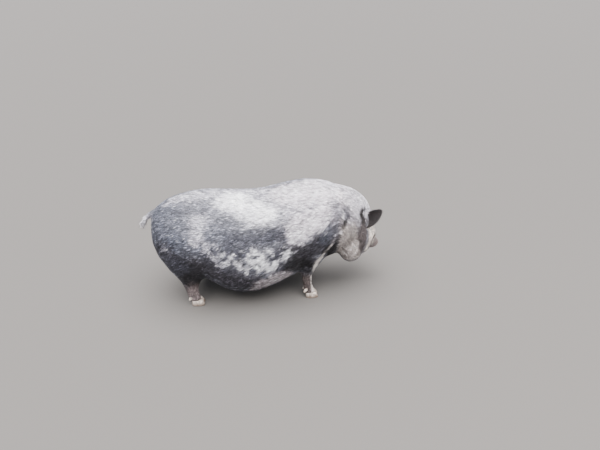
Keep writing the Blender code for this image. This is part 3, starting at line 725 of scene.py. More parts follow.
def draw_lids(mesh, side):
    """Slides the skin round an eye into two lids."""
    middle = node_middle(f"eye_{side}")
    cut_finer(mesh, middle, FINE_ZONE)
    gaze, slit, rise = gaze_axes(side)
    points = points_of(mesh)
    away = points - np.array(middle)
    near = np.flatnonzero(np.linalg.norm(away, axis=1) < FINE_ZONE * 1.15)
    away = away[near]
    height = away @ gaze
    wide, tall = away @ slit, away @ rise
    reach = np.hypot(wide, tall)
    turn = np.arctan2(tall, wide)
    facing = normals_of(mesh)[near] @ gaze
    sector = ((turn + math.pi) / math.tau * SECTORS).astype(int) % SECTORS
    rim = np.full(SECTORS, np.nan)
    for number in range(SECTORS):
        rows = (sector == number) & (facing > 0.3) & (height > 0.004)
        if rows.any():
            rim[number] = reach[rows].min()
    rim = np.where(np.isnan(rim), np.nanmean(rim), rim)
    for _ in range(3):
        rim = (np.roll(rim, 1) + 2 * rim + np.roll(rim, -1)) / 4
    spot = (turn + math.pi) / math.tau * SECTORS - 0.5
    low = np.floor(spot).astype(int)
    share = spot - low
    hole = rim[low % SECTORS] * (1 - share) + rim[(low + 1) % SECTORS] * share
    tallness = np.where(tall > 0, OPENING_RISE, OPENING_DROP)
    almond = 1 / np.sqrt((np.cos(turn) / OPENING_HALF) ** 2 + (np.sin(turn) / tallness) ** 2)
    front = smoothstep(*FRONT_FADE, height)
    inside = (reach < LID_ZONE) & (reach > 0.001)
    slid = almond + (reach - hole) * (LID_ZONE - almond) / (LID_ZONE - hole)
    slid = np.where(inside, reach + (slid - reach) * front, reach)
    past = slid - almond
    ball = np.sqrt(np.maximum((EYE_RADIUS + LID_GAP) ** 2 - slid ** 2, 1e-8))
    outer = smoothstep(*OUTER_FADE, facing)
    lid = ball + LID_THICK * (0.55 + 0.45 * np.sin(np.clip(past / LID_WIDTH, 0, 1) * math.pi))
    cover = outer * (1 - smoothstep(0.6 * LID_WIDTH, 1.3 * LID_WIDTH, past))
    raised = height + np.maximum(lid - height, 0) * cover
    fold = np.exp(-((past - 1.25 * LID_WIDTH) / CREASE_WIDTH) ** 2)
    raised -= CREASE_DEPTH * fold * outer * np.where(tall > 0, 1.0, 0.7)
    sway = 0.0012 * cloud(points[near], 0.012, 24)
    lines = crease(past + sway, WRINKLE_SPACING, 0.6)
    raised += WRINKLE_DEPTH * lines * outer * band(past, *WRINKLE_BAND)
    scale = np.where(reach > TINY, slid / np.maximum(reach, TINY), 1)
    moved = (np.array(middle) + gaze * raised[:, None]
             + slit * (wide * scale)[:, None] + rise * (tall * scale)[:, None])
    change = inside & (height > -0.002)
    points[near[change]] = moved[change]
    weight = np.zeros(len(points))
    weight[near] = EVENED * (1 - smoothstep(*EVENED_FADE, reach))
    points = relax(points, edges_of(mesh), weight, 2)
    put_points(mesh, points)
    print("lids of the", side, "eye, hole", np.round(rim.min() * 1000, 1), "to",
          np.round(rim.max() * 1000, 1), "mm")


def open_nostrils(mesh):
    """Sinks the two nostrils into the disc of the snout, with a raised rim round each."""
    for middle, height in NOSTRILS:
        cut_finer(mesh, head_place(DISC_FRONT, middle, height), NOSTRIL_ZONE)
    points = points_of(mesh)
    depth = nostril_depth(points)
    rim = band(depth, 0.12, 0.12)
    facing = smoothstep(0.0, 0.5, normals_of(mesh) @ np.array(FORWARD))
    change = (NOSTRIL_RIM * rim - NOSTRIL_SINK * depth) * facing
    put_points(mesh, points + np.array(FORWARD) * change[:, None])


for side in SIDES:
    draw_lids(skin.data, side)
open_nostrils(skin.data)
places = points_of(skin.data)
print("skin with lids", len(skin.data.polygons), "triangles,", round(time.time() - began, 1), "s")

# %% [markdown]
# ## The markings
# The coat is grizzled: slate below and frosted white over the back, the shoulder and a
# mottled band on the flank. No two sides of an animal match, so a patch may be shifted
# on the far side. A patch is a long blot with a torn edge, and the whole pattern is one
# function of place, so that the skin and the hair always agree.
# Besides the coat, some patches are painted shade and some are painted highlights.

# %% Colours and patches
def tint(red, green, blue):
    """A colour as the eye reads it, 0 to 255, turned into the light it sends back."""
    parts = np.array([red, green, blue]) / 255
    return np.where(parts <= 0.04045, parts / 12.92, ((parts + 0.055) / 1.055) ** 2.4)


GRIZZLE = tint(104, 104, 111)
STEEL = tint(70, 73, 84)
SLATE = tint(51, 51, 59)
DEEP_SLATE = tint(43, 40, 45)
# Near black, for dark hair, the slit of the mouth and the painted shadows below.
NEAR_BLACK = tint(23, 21, 23)
FROST = tint(247, 244, 250)
PALE_GREY = tint(168, 165, 173)
ROSE_FROST = tint(224, 215, 222)
CLOUDY_GREY = tint(135, 131, 137)
TAN_GREY = tint(132, 125, 122)
CREAM = tint(224, 213, 204)
BROWN_BLACK = tint(58, 52, 52)
EAR_BLACK = tint(23, 18, 18)
UMBER = tint(79, 68, 64)
DUST = tint(108, 97, 96)
DISC_GREY = tint(93, 81, 78)
LID_BROWN = tint(108, 93, 88)
BELLY_GREY = tint(162, 152, 154)

BODY_PATCHES = (
    # colour, one end, other end, half width, strength, torn, shift on the far side
    (STEEL, (-0.467, 0.063, 0.444), (-0.453, 0.137, 0.386), 0.110, 0.70, 0.5, 0.00),
    (STEEL, (-0.380, 0.190, 0.340), (-0.200, 0.210, 0.390), 0.060, 0.55, 0.6, 0.03),
    (PALE_GREY, (-0.387, 0.007, 0.490), (-0.035, -0.027, 0.495), 0.044, 0.72, 0.9, 0.00),
    (FROST, (-0.134, 0.054, 0.493), (-0.017, 0.133, 0.462), 0.062, 1.00, 0.6, 0.00),
    (PALE_GREY, (0.017, 0.010, 0.504), (0.105, 0.124, 0.490), 0.050, 0.75, 0.6, 0.00),
    (ROSE_FROST, (0.111, 0.058, 0.520), (0.340, 0.040, 0.506), 0.070, 0.95, 0.6, 0.00),
    (ROSE_FROST, (0.131, 0.193, 0.389), (0.283, 0.129, 0.463), 0.052, 0.90, 0.8, 0.02),
    (PALE_GREY, (0.348, 0.030, 0.506), (0.444, 0.029, 0.449), 0.075, 0.85, 0.5, 0.00),
    (CLOUDY_GREY, (0.316, 0.090, 0.478), (0.388, 0.107, 0.411), 0.054, 0.75, 0.6, 0.00),
    (UMBER, (0.314, 0.134, 0.400), (0.316, 0.147, 0.315), 0.028, 0.50, 0.6, 0.00),
    (PALE_GREY, (-0.281, 0.157, 0.453), (-0.297, 0.203, 0.384), 0.030, 0.75, 0.9, -0.05),
    (SLATE, (-0.380, 0.099, 0.472), (-0.260, 0.119, 0.479), 0.020, 0.60, 0.8, 0.03),
    (SLATE, (-0.141, 0.208, 0.381), (0.054, 0.198, 0.392), 0.040, 0.80, 0.9, -0.03),
    (SLATE, (-0.021, 0.183, 0.417), (0.078, 0.203, 0.373), 0.028, 0.55, 0.9, -0.03),
    (DEEP_SLATE, (0.063, 0.216, 0.270), (0.253, 0.169, 0.310), 0.050, 0.92, 0.8, 0.00),
    (DEEP_SLATE, (0.094, 0.210, 0.310), (0.188, 0.165, 0.219), 0.042, 0.92, 0.8, 0.00),
    (DEEP_SLATE, (-0.187, 0.221, 0.196), (-0.032, 0.205, 0.141), 0.060, 0.92, 0.7, 0.02),
    # Painted shade under the belly, over a belly coat that is dark itself.
    (NEAR_BLACK, (-0.280, 0.060, 0.090), (0.060, 0.060, 0.040), 0.120, 0.90, 0.4, 0.00),
    (BELLY_GREY, (-0.020, 0.190, 0.128), (0.085, 0.176, 0.162), 0.042, 0.80, 1.0, 0.00),
    (SLATE, (-0.210, 0.225, 0.300), (0.060, 0.225, 0.270), 0.052, 0.88, 0.7, 0.00),
    (PALE_GREY, (-0.249, 0.214, 0.363), (-0.195, 0.228, 0.308), 0.030, 0.90, 1.3, 0.05),
    (FROST, (-0.164, 0.231, 0.283), (-0.045, 0.229, 0.298), 0.034, 0.85, 1.3, -0.04),
    (FROST, (-0.028, 0.230, 0.277), (0.090, 0.211, 0.302), 0.034, 0.85, 1.3, 0.06),
    (FROST, (-0.073, 0.232, 0.241), (0.032, 0.220, 0.246), 0.024, 0.75, 1.3, 0.04),
    (DEEP_SLATE, (-0.426, 0.172, 0.290), (-0.271, 0.205, 0.228), 0.062, 0.88, 0.8, 0.00),
    (NEAR_BLACK, (-0.368, 0.188, 0.230), (-0.318, 0.148, 0.130), 0.056, 0.96, 0.5, 0.00),
    (SLATE, (-0.470, 0.135, 0.300), (-0.380, 0.178, 0.250), 0.046, 0.62, 0.7, 0.00),
    (PALE_GREY, (-0.456, 0.149, 0.319), (-0.422, 0.171, 0.334), 0.006, 0.45, 1.2, 0.02),
    (NEAR_BLACK, (0.121, 0.190, 0.240), (0.190, 0.150, 0.190), 0.046, 0.90, 0.5, 0.00),
    (UMBER, (0.178, 0.142, 0.100), (0.188, 0.141, 0.036), 0.046, 0.85, 0.5, 0.00),
    # Painted highlight down the lit front edge of the near foreleg, in three parts.
    (CREAM, (0.296, 0.142, 0.292), (0.232, 0.152, 0.214), 0.0075, 0.80, 0.7, 0.00),
    (CREAM, (0.230, 0.150, 0.210), (0.212, 0.138, 0.110), 0.0085, 0.90, 0.7, 0.00),
    (CREAM, (0.208, 0.136, 0.120), (0.214, 0.132, 0.040), 0.0100, 0.90, 0.8, 0.00),
    (DUST, (-0.343, 0.149, 0.090), (-0.332, 0.140, 0.046), 0.045, 0.95, 0.6, 0.00),
    # Painted shadow under the throat.
    (NEAR_BLACK, (0.287, 0.142, 0.255), (0.348, 0.060, 0.180), 0.040, 0.85, 0.5, 0.00),
    (PALE_GREY, (-0.530, 0.010, 0.400), (-0.560, 0.010, 0.350), 0.030, 0.90, 0.5, 0.00),
    (ROSE_FROST, (0.235, 0.090, 0.515), (0.318, 0.060, 0.512), 0.034, 0.85, 0.7, 0.00),
    (STEEL, (0.318, 0.132, 0.432), (0.266, 0.163, 0.345), 0.034, 0.55, 0.7, 0.00),
    # Painted shade in the crease between the neck and the jowl, in three parts.
    (SLATE, (0.358, 0.104, 0.442), (0.371, 0.110, 0.412), 0.017, 0.62, 0.8, 0.00),
    (SLATE, (0.371, 0.110, 0.412), (0.352, 0.124, 0.385), 0.010, 0.62, 0.8, 0.00),
    (NEAR_BLACK, (0.354, 0.124, 0.387), (0.347, 0.133, 0.360), 0.010, 0.95, 0.5, 0.00),
    # Painted shadow under and behind the jowl, in two parts.
    (NEAR_BLACK, (0.334, 0.142, 0.326), (0.312, 0.131, 0.262), 0.012, 0.92, 0.5, 0.00),
    (NEAR_BLACK, (0.312, 0.131, 0.262), (0.296, 0.110, 0.222), 0.020, 0.92, 0.5, 0.00),
    # Painted highlight along the lit edge of the fold beside that crease.
    (FROST, (0.350, 0.106, 0.447), (0.341, 0.133, 0.392), 0.0026, 0.62, 1.1, 0.00),
    (FROST, (0.338, 0.140, 0.352), (0.343, 0.137, 0.336), 0.0060, 0.70, 0.8, 0.00),
)

HEAD_PATCHES = (
    # colour, ends along, aside and over, half width, strength, torn
    (TAN_GREY, (-0.056, 0.102, -0.213), (0.058, 0.084, -0.207), 0.062, 0.90, 0.6),
    (TAN_GREY, (-0.072, 0.118, -0.167), (0.034, 0.100, -0.182), 0.034, 0.70, 0.6),
    (TAN_GREY, (0.010, 0.000, -0.010), (0.110, 0.000, -0.030), 0.075, 0.80, 0.5),
    (CREAM, (0.030, 0.086, -0.040), (0.125, 0.056, -0.048), 0.018, 0.55, 0.9),
    (CREAM, (0.010, 0.000, 0.010), (0.135, 0.000, 0.005), 0.030, 0.80, 0.9),
    (TAN_GREY, (0.046, 0.088, -0.078), (0.092, 0.066, -0.090), 0.020, 0.80, 0.8),
    (CREAM, (-0.012, 0.108, -0.056), (0.034, 0.098, -0.066), 0.018, 0.85, 0.8),
    (CREAM, (-0.008, 0.111, -0.066), (0.050, 0.103, -0.082), 0.015, 0.95, 0.7),
    (CREAM, (0.050, 0.102, -0.084), (0.110, 0.070, -0.114), 0.012, 0.95, 0.7),
    (BROWN_BLACK, (-0.056, 0.118, -0.086), (-0.004, 0.113, -0.131), 0.021, 0.92, 0.8),
    (BROWN_BLACK, (-0.004, 0.113, -0.131), (0.050, 0.100, -0.150), 0.017, 0.92, 0.8),
    (BROWN_BLACK, (0.050, 0.100, -0.152), (0.072, 0.094, -0.150), 0.011, 0.84, 0.9),
    (BROWN_BLACK, (-0.026, 0.116, -0.090), (0.012, 0.118, -0.120), 0.0095, 0.80, 0.8),
    (BROWN_BLACK, (0.012, 0.118, -0.120), (0.054, 0.102, -0.138), 0.0095, 0.80, 0.8),
    (DISC_GREY, (0.170, -0.020, -0.024), (0.170, 0.020, -0.024), 0.042, 0.92, 0.4),
    # A dark patch of hair behind the ear's base, darkened further as painted shade in the crease
    # there.
    (EAR_BLACK, (-0.103, 0.112, -0.043), (-0.109, 0.119, -0.066), 0.009, 0.92, 0.6),
    (EAR_BLACK, (-0.109, 0.119, -0.066), (-0.098, 0.122, -0.086), 0.011, 0.95, 0.5),
    (EAR_BLACK, (-0.098, 0.122, -0.086), (-0.066, 0.120, -0.088), 0.011, 0.92, 0.6),
)
# Painted highlight on the lit rear rim of the near ear.
EAR_RIM_HIGHLIGHT = (ROSE_FROST, (-0.086, 0.116, -0.049), (-0.055, 0.117, -0.076), 0.0042, 0.55, 0.6)
BROW_MIDDLE = -0.0375
MIDDLE_DRIFT = 0.238
EAR_ALONG = -0.053
CREST_HEIGHT = 0.455
ISLANDS_FROM = 1.2
WARMTH = np.array((0.02, 0.0, -0.03))
# How far the edge of a patch is torn, by blobs of which size, and a step of their seed.
TEARS = ((0.50, 0.016, 5), (0.30, 0.006, 7))
WIDE_TEAR = 0.50
WIDE_TEAR_SIZE = 0.045
BODY_SEED = 40
HEAD_SEED = 80
RIM_SEED = 97
MOUTH_SHADE = 0.85
MOUTH_FADE = (0.0012, 0.0042)
NOSTRIL_SHADE = 0.92
LID_STRENGTH = 0.9
LID_FADE = (0.0140, 0.019)
WET_RIM = (0.0138, 0.0160)
DARKEST = 0.004
PALEST = 0.95
print(len(BODY_PATCHES) + len(HEAD_PATCHES), "patches")


def paint_patch(colours, points, patch, seed):
    """Lays one long torn blot of colour over what is there."""
    colour, start, end, half, strength, torn = patch[:6]
    reach = line_gap(points, start, end) / half
    inside = np.flatnonzero(reach < 1.6 + 1.1 * torn)
    reach, near = reach[inside], points[inside]
    reach = reach + WIDE_TEAR * torn * rough_cloud(near, WIDE_TEAR_SIZE, seed, 2)
    for tear, size, step in TEARS:
        reach = reach + tear * torn * cloud(near, size, seed + step)
    soft = 0.62 / (0.6 + torn)
    cover = strength * (1 - smoothstep(1.05 - soft, 1.05 + soft, reach))
    if torn > ISLANDS_FROM:
        speckle = cloud(near, 0.019, seed + 9) + 0.6 * cloud(near, 0.008, seed + 11)
        cover = cover * smoothstep(-0.28, 0.26, speckle)
    colours = colours.copy()
    colours[inside] = blend(colours[inside], colour, cover)
    return colours


def head_rows(points):
    """Head axes with both sides folded on to one, aside counted from the middle line."""
    rows = head_parts(points)
    middle_line = np.minimum(0, BROW_MIDDLE + (rows[:, 0] - EAR_ALONG) * MIDDLE_DRIFT)
    rows[:, 1] = np.abs(rows[:, 1] - middle_line)
    return rows


def markings_and_painted_light(points):
    """The colour of the hide at each point, with painted shade and painted highlights in it."""
    flipped = points * (1, -1, 1)
    folded = np.stack([points[:, 0], np.abs(points[:, 1]), points[:, 2]], axis=1)
    far = points[:, 1] > 0
    shade = 1 + 0.30 * rough_cloud(points, 0.07, 31) + 0.30 * cloud(points, 0.012, 35)
    colours = GRIZZLE * shade[:, None]
    for number, patch in enumerate(BODY_PATCHES):
        low_end = min(patch[1][2], patch[2][2])
        spot = flipped if low_end > CREST_HEIGHT else folded - np.outer(far, (patch[6], 0, 0))
        colours = paint_patch(colours, spot, patch, BODY_SEED + number)
    rows = head_rows(points)
    on_head = smoothstep(0.1, 0.9, head_mask(points))
    painted = colours
    for number, patch in enumerate(HEAD_PATCHES):
        painted = paint_patch(painted, rows, patch, HEAD_SEED + number)
    painted = blend(painted, NEAR_BLACK, MOUTH_SHADE * (1 - smoothstep(*MOUTH_FADE, mouth_gap(points))))
    painted = painted * (1 - NOSTRIL_SHADE * nostril_depth(points))[:, None]
    colours = blend(colours, painted, on_head) * (1 + on_head[:, None] * WARMTH)
    colours = blend(colours, EAR_BLACK, ear_mask(points))
    near_eye = eye_gap(points) + 0.002 * cloud(points, 0.01, 37)
    colours = blend(colours, LID_BROWN, LID_STRENGTH * (1 - smoothstep(*LID_FADE, near_eye)))
    # The painted highlight on the lit rim of the ear goes on last.
    colours = paint_patch(colours, rows, EAR_RIM_HIGHLIGHT, RIM_SEED)
    pale = smoothstep(0.2, 0.7, colours.mean(axis=1))
    stipple = 1 + (0.50 + 0.30 * pale) * cloud(points, (0.012, 0.0055, 0.0055), 36)
    # Painted shade: the hide is darkened at the bottom of every fold, where shade gathers.
    wear_and_crease_shade = 1 - FURROW_SHADE * furrow(points)
    return np.clip(colours * (stipple * wear_and_crease_shade)[:, None], DARKEST, PALEST)


def dryness(points):
    """1 on dry hide and 0 on the moist disc of the snout, in its nostrils and at the eyes."""
    along = head_parts(points)[:, 0]
    moist = smoothstep(DISC_START + 0.006, DISC_START + 0.014, along) * face_mask(points)
    return 1 - np.maximum(moist, 0.7 * (1 - smoothstep(*WET_RIM, eye_gap(points))))


def colour_layer(mesh, colours, dry=1.0):
    """Stores one colour for each vertex of a mesh, and how dry it is as the fourth value."""
    layer = mesh.color_attributes.new("Coat", "FLOAT_COLOR", "POINT")
    rows = np.ones((len(colours), 4), np.float32)
    rows[:, :3] = colours
    rows[:, 3] = dry
    layer.data.foreach_set("color", rows.ravel())


skin_tones = markings_and_painted_light(places)
colour_layer(skin.data, skin_tones, dryness(places))
print("skin marked,", round(time.time() - began, 1), "s")

# %% [markdown]
# ## Finishes
# Hide, bristle, horn and eye each get their own material from nodes. The colour of hide
# and bristle comes from the layer on the mesh. The hide adds pores and a nap of very
# short hair as bump, and is moist on the snout's disc and at the eyes.

# %% Hide and bristle materials
DRY_ROUGH = 0.62
MOIST_ROUGH = 0.24
SPECKLE = (0.66, 1.22)
NAP_SCALE = 620.0
PORE_SCALE = 260.0


def plain_material(name, rough, shine):
    """A node material with its shader ready, and the shader."""
    material = bpy.data.materials.new(name)
    material.use_nodes = True
    shader = material.node_tree.nodes["Principled BSDF"]
    shader.inputs["Roughness"].default_value = rough
    shader.inputs["Specular IOR Level"].default_value = shine
    return material, shader


def add_node(material, kind, **values):
    """A node of a kind with some of its inputs or settings filled in."""
    node = material.node_tree.nodes.new(kind)
    for key, value in values.items():
        if key in node.inputs:
            node.inputs[key].default_value = value
        else:
            setattr(node, key, value)
    return node


def wire(material, *pairs):
    """Joins outputs to inputs."""
    for start, end in pairs:
        material.node_tree.links.new(start, end)


def remap(material, source, target):
    """A node that turns one range of values into another."""
    node = material.node_tree.nodes.new("ShaderNodeMapRange")
    for name, value in zip(("From Min", "From Max", "To Min", "To Max"), source + target):
        node.inputs[name].default_value = value
    return node


def multiply(material):
    """A node that multiplies two colours."""
    return add_node(material, "ShaderNodeMix", data_type="RGBA", blend_type="MULTIPLY", Factor=1.0)


def layer_material(name, rough, shine):
    """A plain material in the colours of the layer on the mesh, and its shader."""
    material, shader = plain_material(name, rough, shine)
    colour = add_node(material, "ShaderNodeAttribute", attribute_name="Coat")
    wire(material, (colour.outputs["Color"], shader.inputs["Base Color"]))
    return material, shader


def hide_material():
    """Pored skin with a nap of fine hair, in the colours of its layer."""
    material, shader = plain_material("grizzled_hide", DRY_ROUGH, 0.35)
    colour = add_node(material, "ShaderNodeAttribute", attribute_name="Coat")
    place = add_node(material, "ShaderNodeTexCoord")
    along = add_node(material, "ShaderNodeMapping", Scale=(0.30, 1.0, 1.0))
    nap = add_node(material, "ShaderNodeTexNoise", Scale=NAP_SCALE, Detail=3.0, Roughness=0.6)
    pores = add_node(material, "ShaderNodeTexNoise", Scale=PORE_SCALE, Detail=4.0, Roughness=0.55)
    speck = remap(material, (0.3, 0.7), SPECKLE)
    grain = multiply(material)
    damp = remap(material, (0.0, 1.0), (MOIST_ROUGH, DRY_ROUGH))
    low = add_node(material, "ShaderNodeBump", Strength=0.45, Distance=0.0012)
    high = add_node(material, "ShaderNodeBump", Strength=0.35, Distance=0.0006)
    wire(
        material,
        (place.outputs["Object"], along.inputs["Vector"]),
        (along.outputs["Vector"], nap.inputs["Vector"]),
        (place.outputs["Object"], pores.inputs["Vector"]),
        (nap.outputs["Fac"], speck.inputs["Value"]),
        (colour.outputs["Color"], grain.inputs[6]),
        (speck.outputs["Result"], grain.inputs[7]),
        (grain.outputs[2], shader.inputs["Base Color"]),
        (colour.outputs["Alpha"], damp.inputs["Value"]),
        (damp.outputs["Result"], shader.inputs["Roughness"]),
        (pores.outputs["Fac"], low.inputs["Height"]),
        (nap.outputs["Fac"], high.inputs["Height"]),
        (low.outputs["Normal"], high.inputs["Normal"]),
        (high.outputs["Normal"], shader.inputs["Normal"]),
    )
    return material


HIDE = hide_material()
BRISTLE = layer_material("bristle", 0.5, 0.4)[0]
skin.data.materials.clear()
skin.data.materials.append(HIDE)
print("materials", [material.name for material in (HIDE, BRISTLE)])

# %% [markdown]
# ## The lie of the coat
# Bristles point from the snout to the tail, slant down over the flanks, run down the
# legs and out along the ears and the tail. The direction at a point is a blend of these,
# laid flat on the skin. Length and width follow the place too: long on the shoulder and
# the nape, very short on the face and the feet.

# %% Direction and size of the bristles
BODY_LENGTH = 0.020
SHOULDER_LONGER = 0.007
NAPE_LONGER = 0.010
HEAD_LENGTH = 0.015
FACE_LENGTH = 0.0050
LEG_LENGTH = 0.010
EAR_LENGTH = 0.0065
TAIL_LENGTH = 0.016
SLANT = 0.55
TAIL_WAY = np.array((-0.5, 0.1, -0.85))
BETWEEN_EARS = head_place(-0.03, 0.0, -0.06)


def unit(rows):
    """Rows scaled to length one."""
    return rows / np.maximum(np.linalg.norm(rows, axis=1), 1e-9)[:, None]


def lie_of_coat(points, normals):
    """The way the hair points at each place, flat on the skin."""
    x, y, z = points.T
    steep = 1 - np.abs(normals[:, 2])
    body = np.stack([-np.ones(len(points)), 0.1 * np.sign(y) * steep, -SLANT * steep], axis=1)
    body[:, 2] += 0.45 * rough_cloud(points, 0.16, 21, 2)
    head = np.tile(-np.array(FORWARD), (len(points), 1))
    head[:, 2] -= 0.35
    leg = np.stack([-0.25 * np.ones(len(points)), np.zeros(len(points)),
                    -np.ones(len(points))], axis=1)
    flow = unit(body)
    for mask, way in ((head_mask(points), head), (leg_mask(points), leg)):
        flow = blend(flow, unit(way), mask)
    for name in EARS:
        outward = np.array(node_middle(name) - BETWEEN_EARS)
        share = ear_mask(points) * near_box(points, name, 0.01)
        flow = blend(flow, outward / np.linalg.norm(outward), share)
    flow = blend(flow, TAIL_WAY, tail_mask(points))
    flow = flow - normals * np.sum(flow * normals, axis=1)[:, None]
    return unit(flow)


def nape_mask(points, normals):
    """1 along the crest from the poll to the middle of the back."""
    x, y, z = points.T
    return smoothstep(-0.05, 0.16, x) * band(y, 0.0, 0.07) * smoothstep(0.5, 0.85, normals[:, 2])


def bristle_length(points, normals):
    """How long the hair is at each place."""
    length = BODY_LENGTH + SHOULDER_LONGER * smoothstep(-0.1, 0.25, points[:, 0])
    length += NAPE_LONGER * nape_mask(points, normals)
    for mask, short in ((head_mask, HEAD_LENGTH), (face_mask, FACE_LENGTH), (leg_mask, LEG_LENGTH),
                        (ear_mask, EAR_LENGTH), (tail_mask, TAIL_LENGTH)):
        length = length + (short - length) * mask(points)
    return length

# %% [markdown]
# ## A flat map of the hide
# Each bristle has to find its own place on a flat map of the hide when the looks are
# baked. Flattening the full skin would be slow, so a coarse copy is cut into islands by
# Smart UV Project, and each root looks up the nearest place on that copy.

# %% The hide unwrapped
MAP_TRIANGLES = 7000
ISLAND_ANGLE = math.radians(66)
ISLAND_MARGIN = 0.004

pelt = placed("pelt", skin.data.copy())
coarse = pelt.modifiers.new("coarse", "DECIMATE")
coarse.ratio = MAP_TRIANGLES / len(pelt.data.polygons)
apply_modifiers(pelt)
bpy.context.view_layer.objects.active = pelt
pelt.select_set(True)
bpy.ops.object.mode_set(mode="EDIT")
bpy.ops.mesh.select_all(action="SELECT")
bpy.ops.uv.smart_project(angle_limit=ISLAND_ANGLE, island_margin=ISLAND_MARGIN)
bpy.ops.object.mode_set(mode="OBJECT")
pelt_corners = np.empty(len(pelt.data.loops), np.int32)
pelt.data.loops.foreach_get("vertex_index", pelt_corners)
pelt_corners = pelt_corners.reshape(-1, 3)
pelt_map = np.empty(len(pelt.data.loops) * 2, np.float32)
pelt.data.uv_layers[0].uv.foreach_get("vector", pelt_map)
pelt_map = pelt_map.reshape(-1, 3, 2)
pelt_points = points_of(pelt.data)
pelt_tree = BVHTree.FromPolygons(pelt_points.tolist(), pelt_corners.tolist())
bpy.data.objects.remove(pelt)


def map_places(points):
    """Where points of the hide lie on its flat map."""
    found = [pelt_tree.find_nearest(Vector(point)) for point in points]
    face = np.array([hit[2] for hit in found])
    spot = np.array([hit[0] for hit in found])
    a, b, c = (pelt_points[pelt_corners[face, corner]] for corner in range(3))
    whole = np.cross(b - a, c - a)
    size = np.maximum(np.sum(whole ** 2, axis=1), 1e-18)
    share_b = np.sum(np.cross(spot - a, c - a) * whole, axis=1) / size
    share_c = np.sum(np.cross(b - a, spot - a) * whole, axis=1) / size
    shares = np.stack([1 - share_b - share_c, share_b, share_c], axis=1)
    return np.sum(pelt_map[face] * np.clip(shares, 0, 1)[:, :, None], axis=1)


print("map of", len(pelt_corners), "faces,", round(time.time() - began, 1), "s")

# %% [markdown]
# ## The bristle coat
# Hair that lies this flat could be bump alone, but a hog's bristles are coarse and break
# its outline, so they are mesh. Each is a small lock: a bent spike of three sides, sunk
# at its root and drawn to a point, ten triangles in all. Roots are scattered by the area
# of the skin's faces, closer on the face and the feet, and every lock hugs the skin
# under its middle and its tip.

# %% Locks of bristle
LOCKS = 151_000
LOCK_FACES = np.array([
    (0, 1, 4), (0, 4, 3), (1, 2, 5), (1, 5, 4), (2, 0, 3), (2, 3, 5),
    (3, 4, 6), (4, 5, 6), (5, 3, 6), (0, 2, 1),
])
LOCK_POINTS = 7
PATCH = 0.0015
HEAD_CROWD = 0.9
FACE_CROWD = 1.4
LEG_CROWD = 1.2
EAR_CROWD = 2.0
BARE_DISC = 0.170
BARE_LIDS = 0.0172
BARE_HOOF = 0.026
STRAY = 0.20
SPREAD = (0.7, 1.25)
LOCK_WIDTH = 0.0015
FACE_THINNER = 0.0008
LEG_THINNER = 0.0003
HEAD_THINNER = 0.0002
EAR_THINNER = 0.0004
LIFT = (0.05, 0.14)
NAPE_LIFT = 0.004

rng = np.random.default_rng(11)
skin_tree = BVHTree.FromPolygons(places.tolist(), [tuple(f.vertices) for f in skin.data.polygons])


def scatter(count):
    """Roots spread over the skin, as places and normals."""
    corners = np.array([tuple(f.vertices) for f in skin.data.polygons])
    a, b, c = (places[corners[:, k]] for k in range(3))
    area = np.linalg.norm(np.cross(b - a, c - a), axis=1) / 2
    middle = (a + b + c) / 3
    crowd = 1 + HEAD_CROWD * head_mask(middle) + FACE_CROWD * face_mask(middle)
    crowd = crowd + LEG_CROWD * leg_mask(middle) + EAR_CROWD * ear_mask(middle)
    chance = area * crowd
    face = rng.choice(len(corners), count, p=chance / chance.sum())
    u, v = rng.random(count), rng.random(count)
    flip = u + v > 1
    u, v = np.where(flip, 1 - u, u), np.where(flip, 1 - v, v)
    w = 1 - u - v
    skin_normals = normals_of(skin.data)
    picked = corners[face]
    roots = sum(places[picked[:, k]] * share[:, None] for k, share in enumerate((w, u, v)))
    facing = sum(skin_normals[picked[:, k]] * share[:, None] for k, share in enumerate((w, u, v)))
    return roots, unit(facing)


def hug(points, fallback, height, limit):
    """Points moved to a height over the nearest skin, unless that is too far away."""
    settled = points.copy()
    for index, point in enumerate(points):
        spot, facing, _, gap = skin_tree.find_nearest(Vector(point))
        if gap < limit[index]:
            settled[index] = spot + facing * height[index]
        else:
            settled[index] = point + fallback[index] * height[index]
    return settled


def lock_shapes(roots, facing, way, length, width, lift):
    """The seven points of each lock, as count by seven by three."""
    across = unit(np.cross(facing, way))
    half = (width / 2)[:, None]
    thick = (width * 0.32)[:, None]
    reach = length[:, None]
    middle = hug(roots + way * reach * 0.45, facing, lift * 0.8, length * 0.6)
    tip = hug(roots + way * reach, facing, lift, length * 0.6)
    start = roots - facing * (0.0008 + thick * 0.5)
    return np.stack([
        start - across * half,
        start + across * half,
        start + facing * thick * 1.6,
        middle - across * half * 0.8 - facing * thick * 0.3,
        middle + across * half * 0.8 - facing * thick * 0.3,
        middle + facing * thick * 0.9,
        tip,
    ], axis=1)


roots, facing = scatter(LOCKS)
bare = (head_parts(roots)[:, 0] > BARE_DISC) & (face_mask(roots) > 0.5)
bare |= nostril_depth(roots) > 0.02
grown = ~bare & (eye_gap(roots) > BARE_LIDS) & (roots[:, 2] > BARE_HOOF)
roots, facing = roots[grown], facing[grown]
count = len(roots)
way = lie_of_coat(roots, facing)
across = np.cross(facing, way)
stray = rng.normal(0, STRAY, count) + 0.25 * cloud(roots, 0.03, 51)
way = unit(way * np.cos(stray)[:, None] + across * np.sin(stray)[:, None])
length = bristle_length(roots, facing) * rng.uniform(*SPREAD, count)
width = LOCK_WIDTH - FACE_THINNER * face_mask(roots) - LEG_THINNER * leg_mask(roots)
width -= HEAD_THINNER * head_mask(roots) * (1 - face_mask(roots))
width -= EAR_THINNER * ear_mask(roots)
width *= rng.uniform(*SPREAD, count)
lift = length * rng.uniform(*LIFT, count) + NAPE_LIFT * nape_mask(roots, facing)
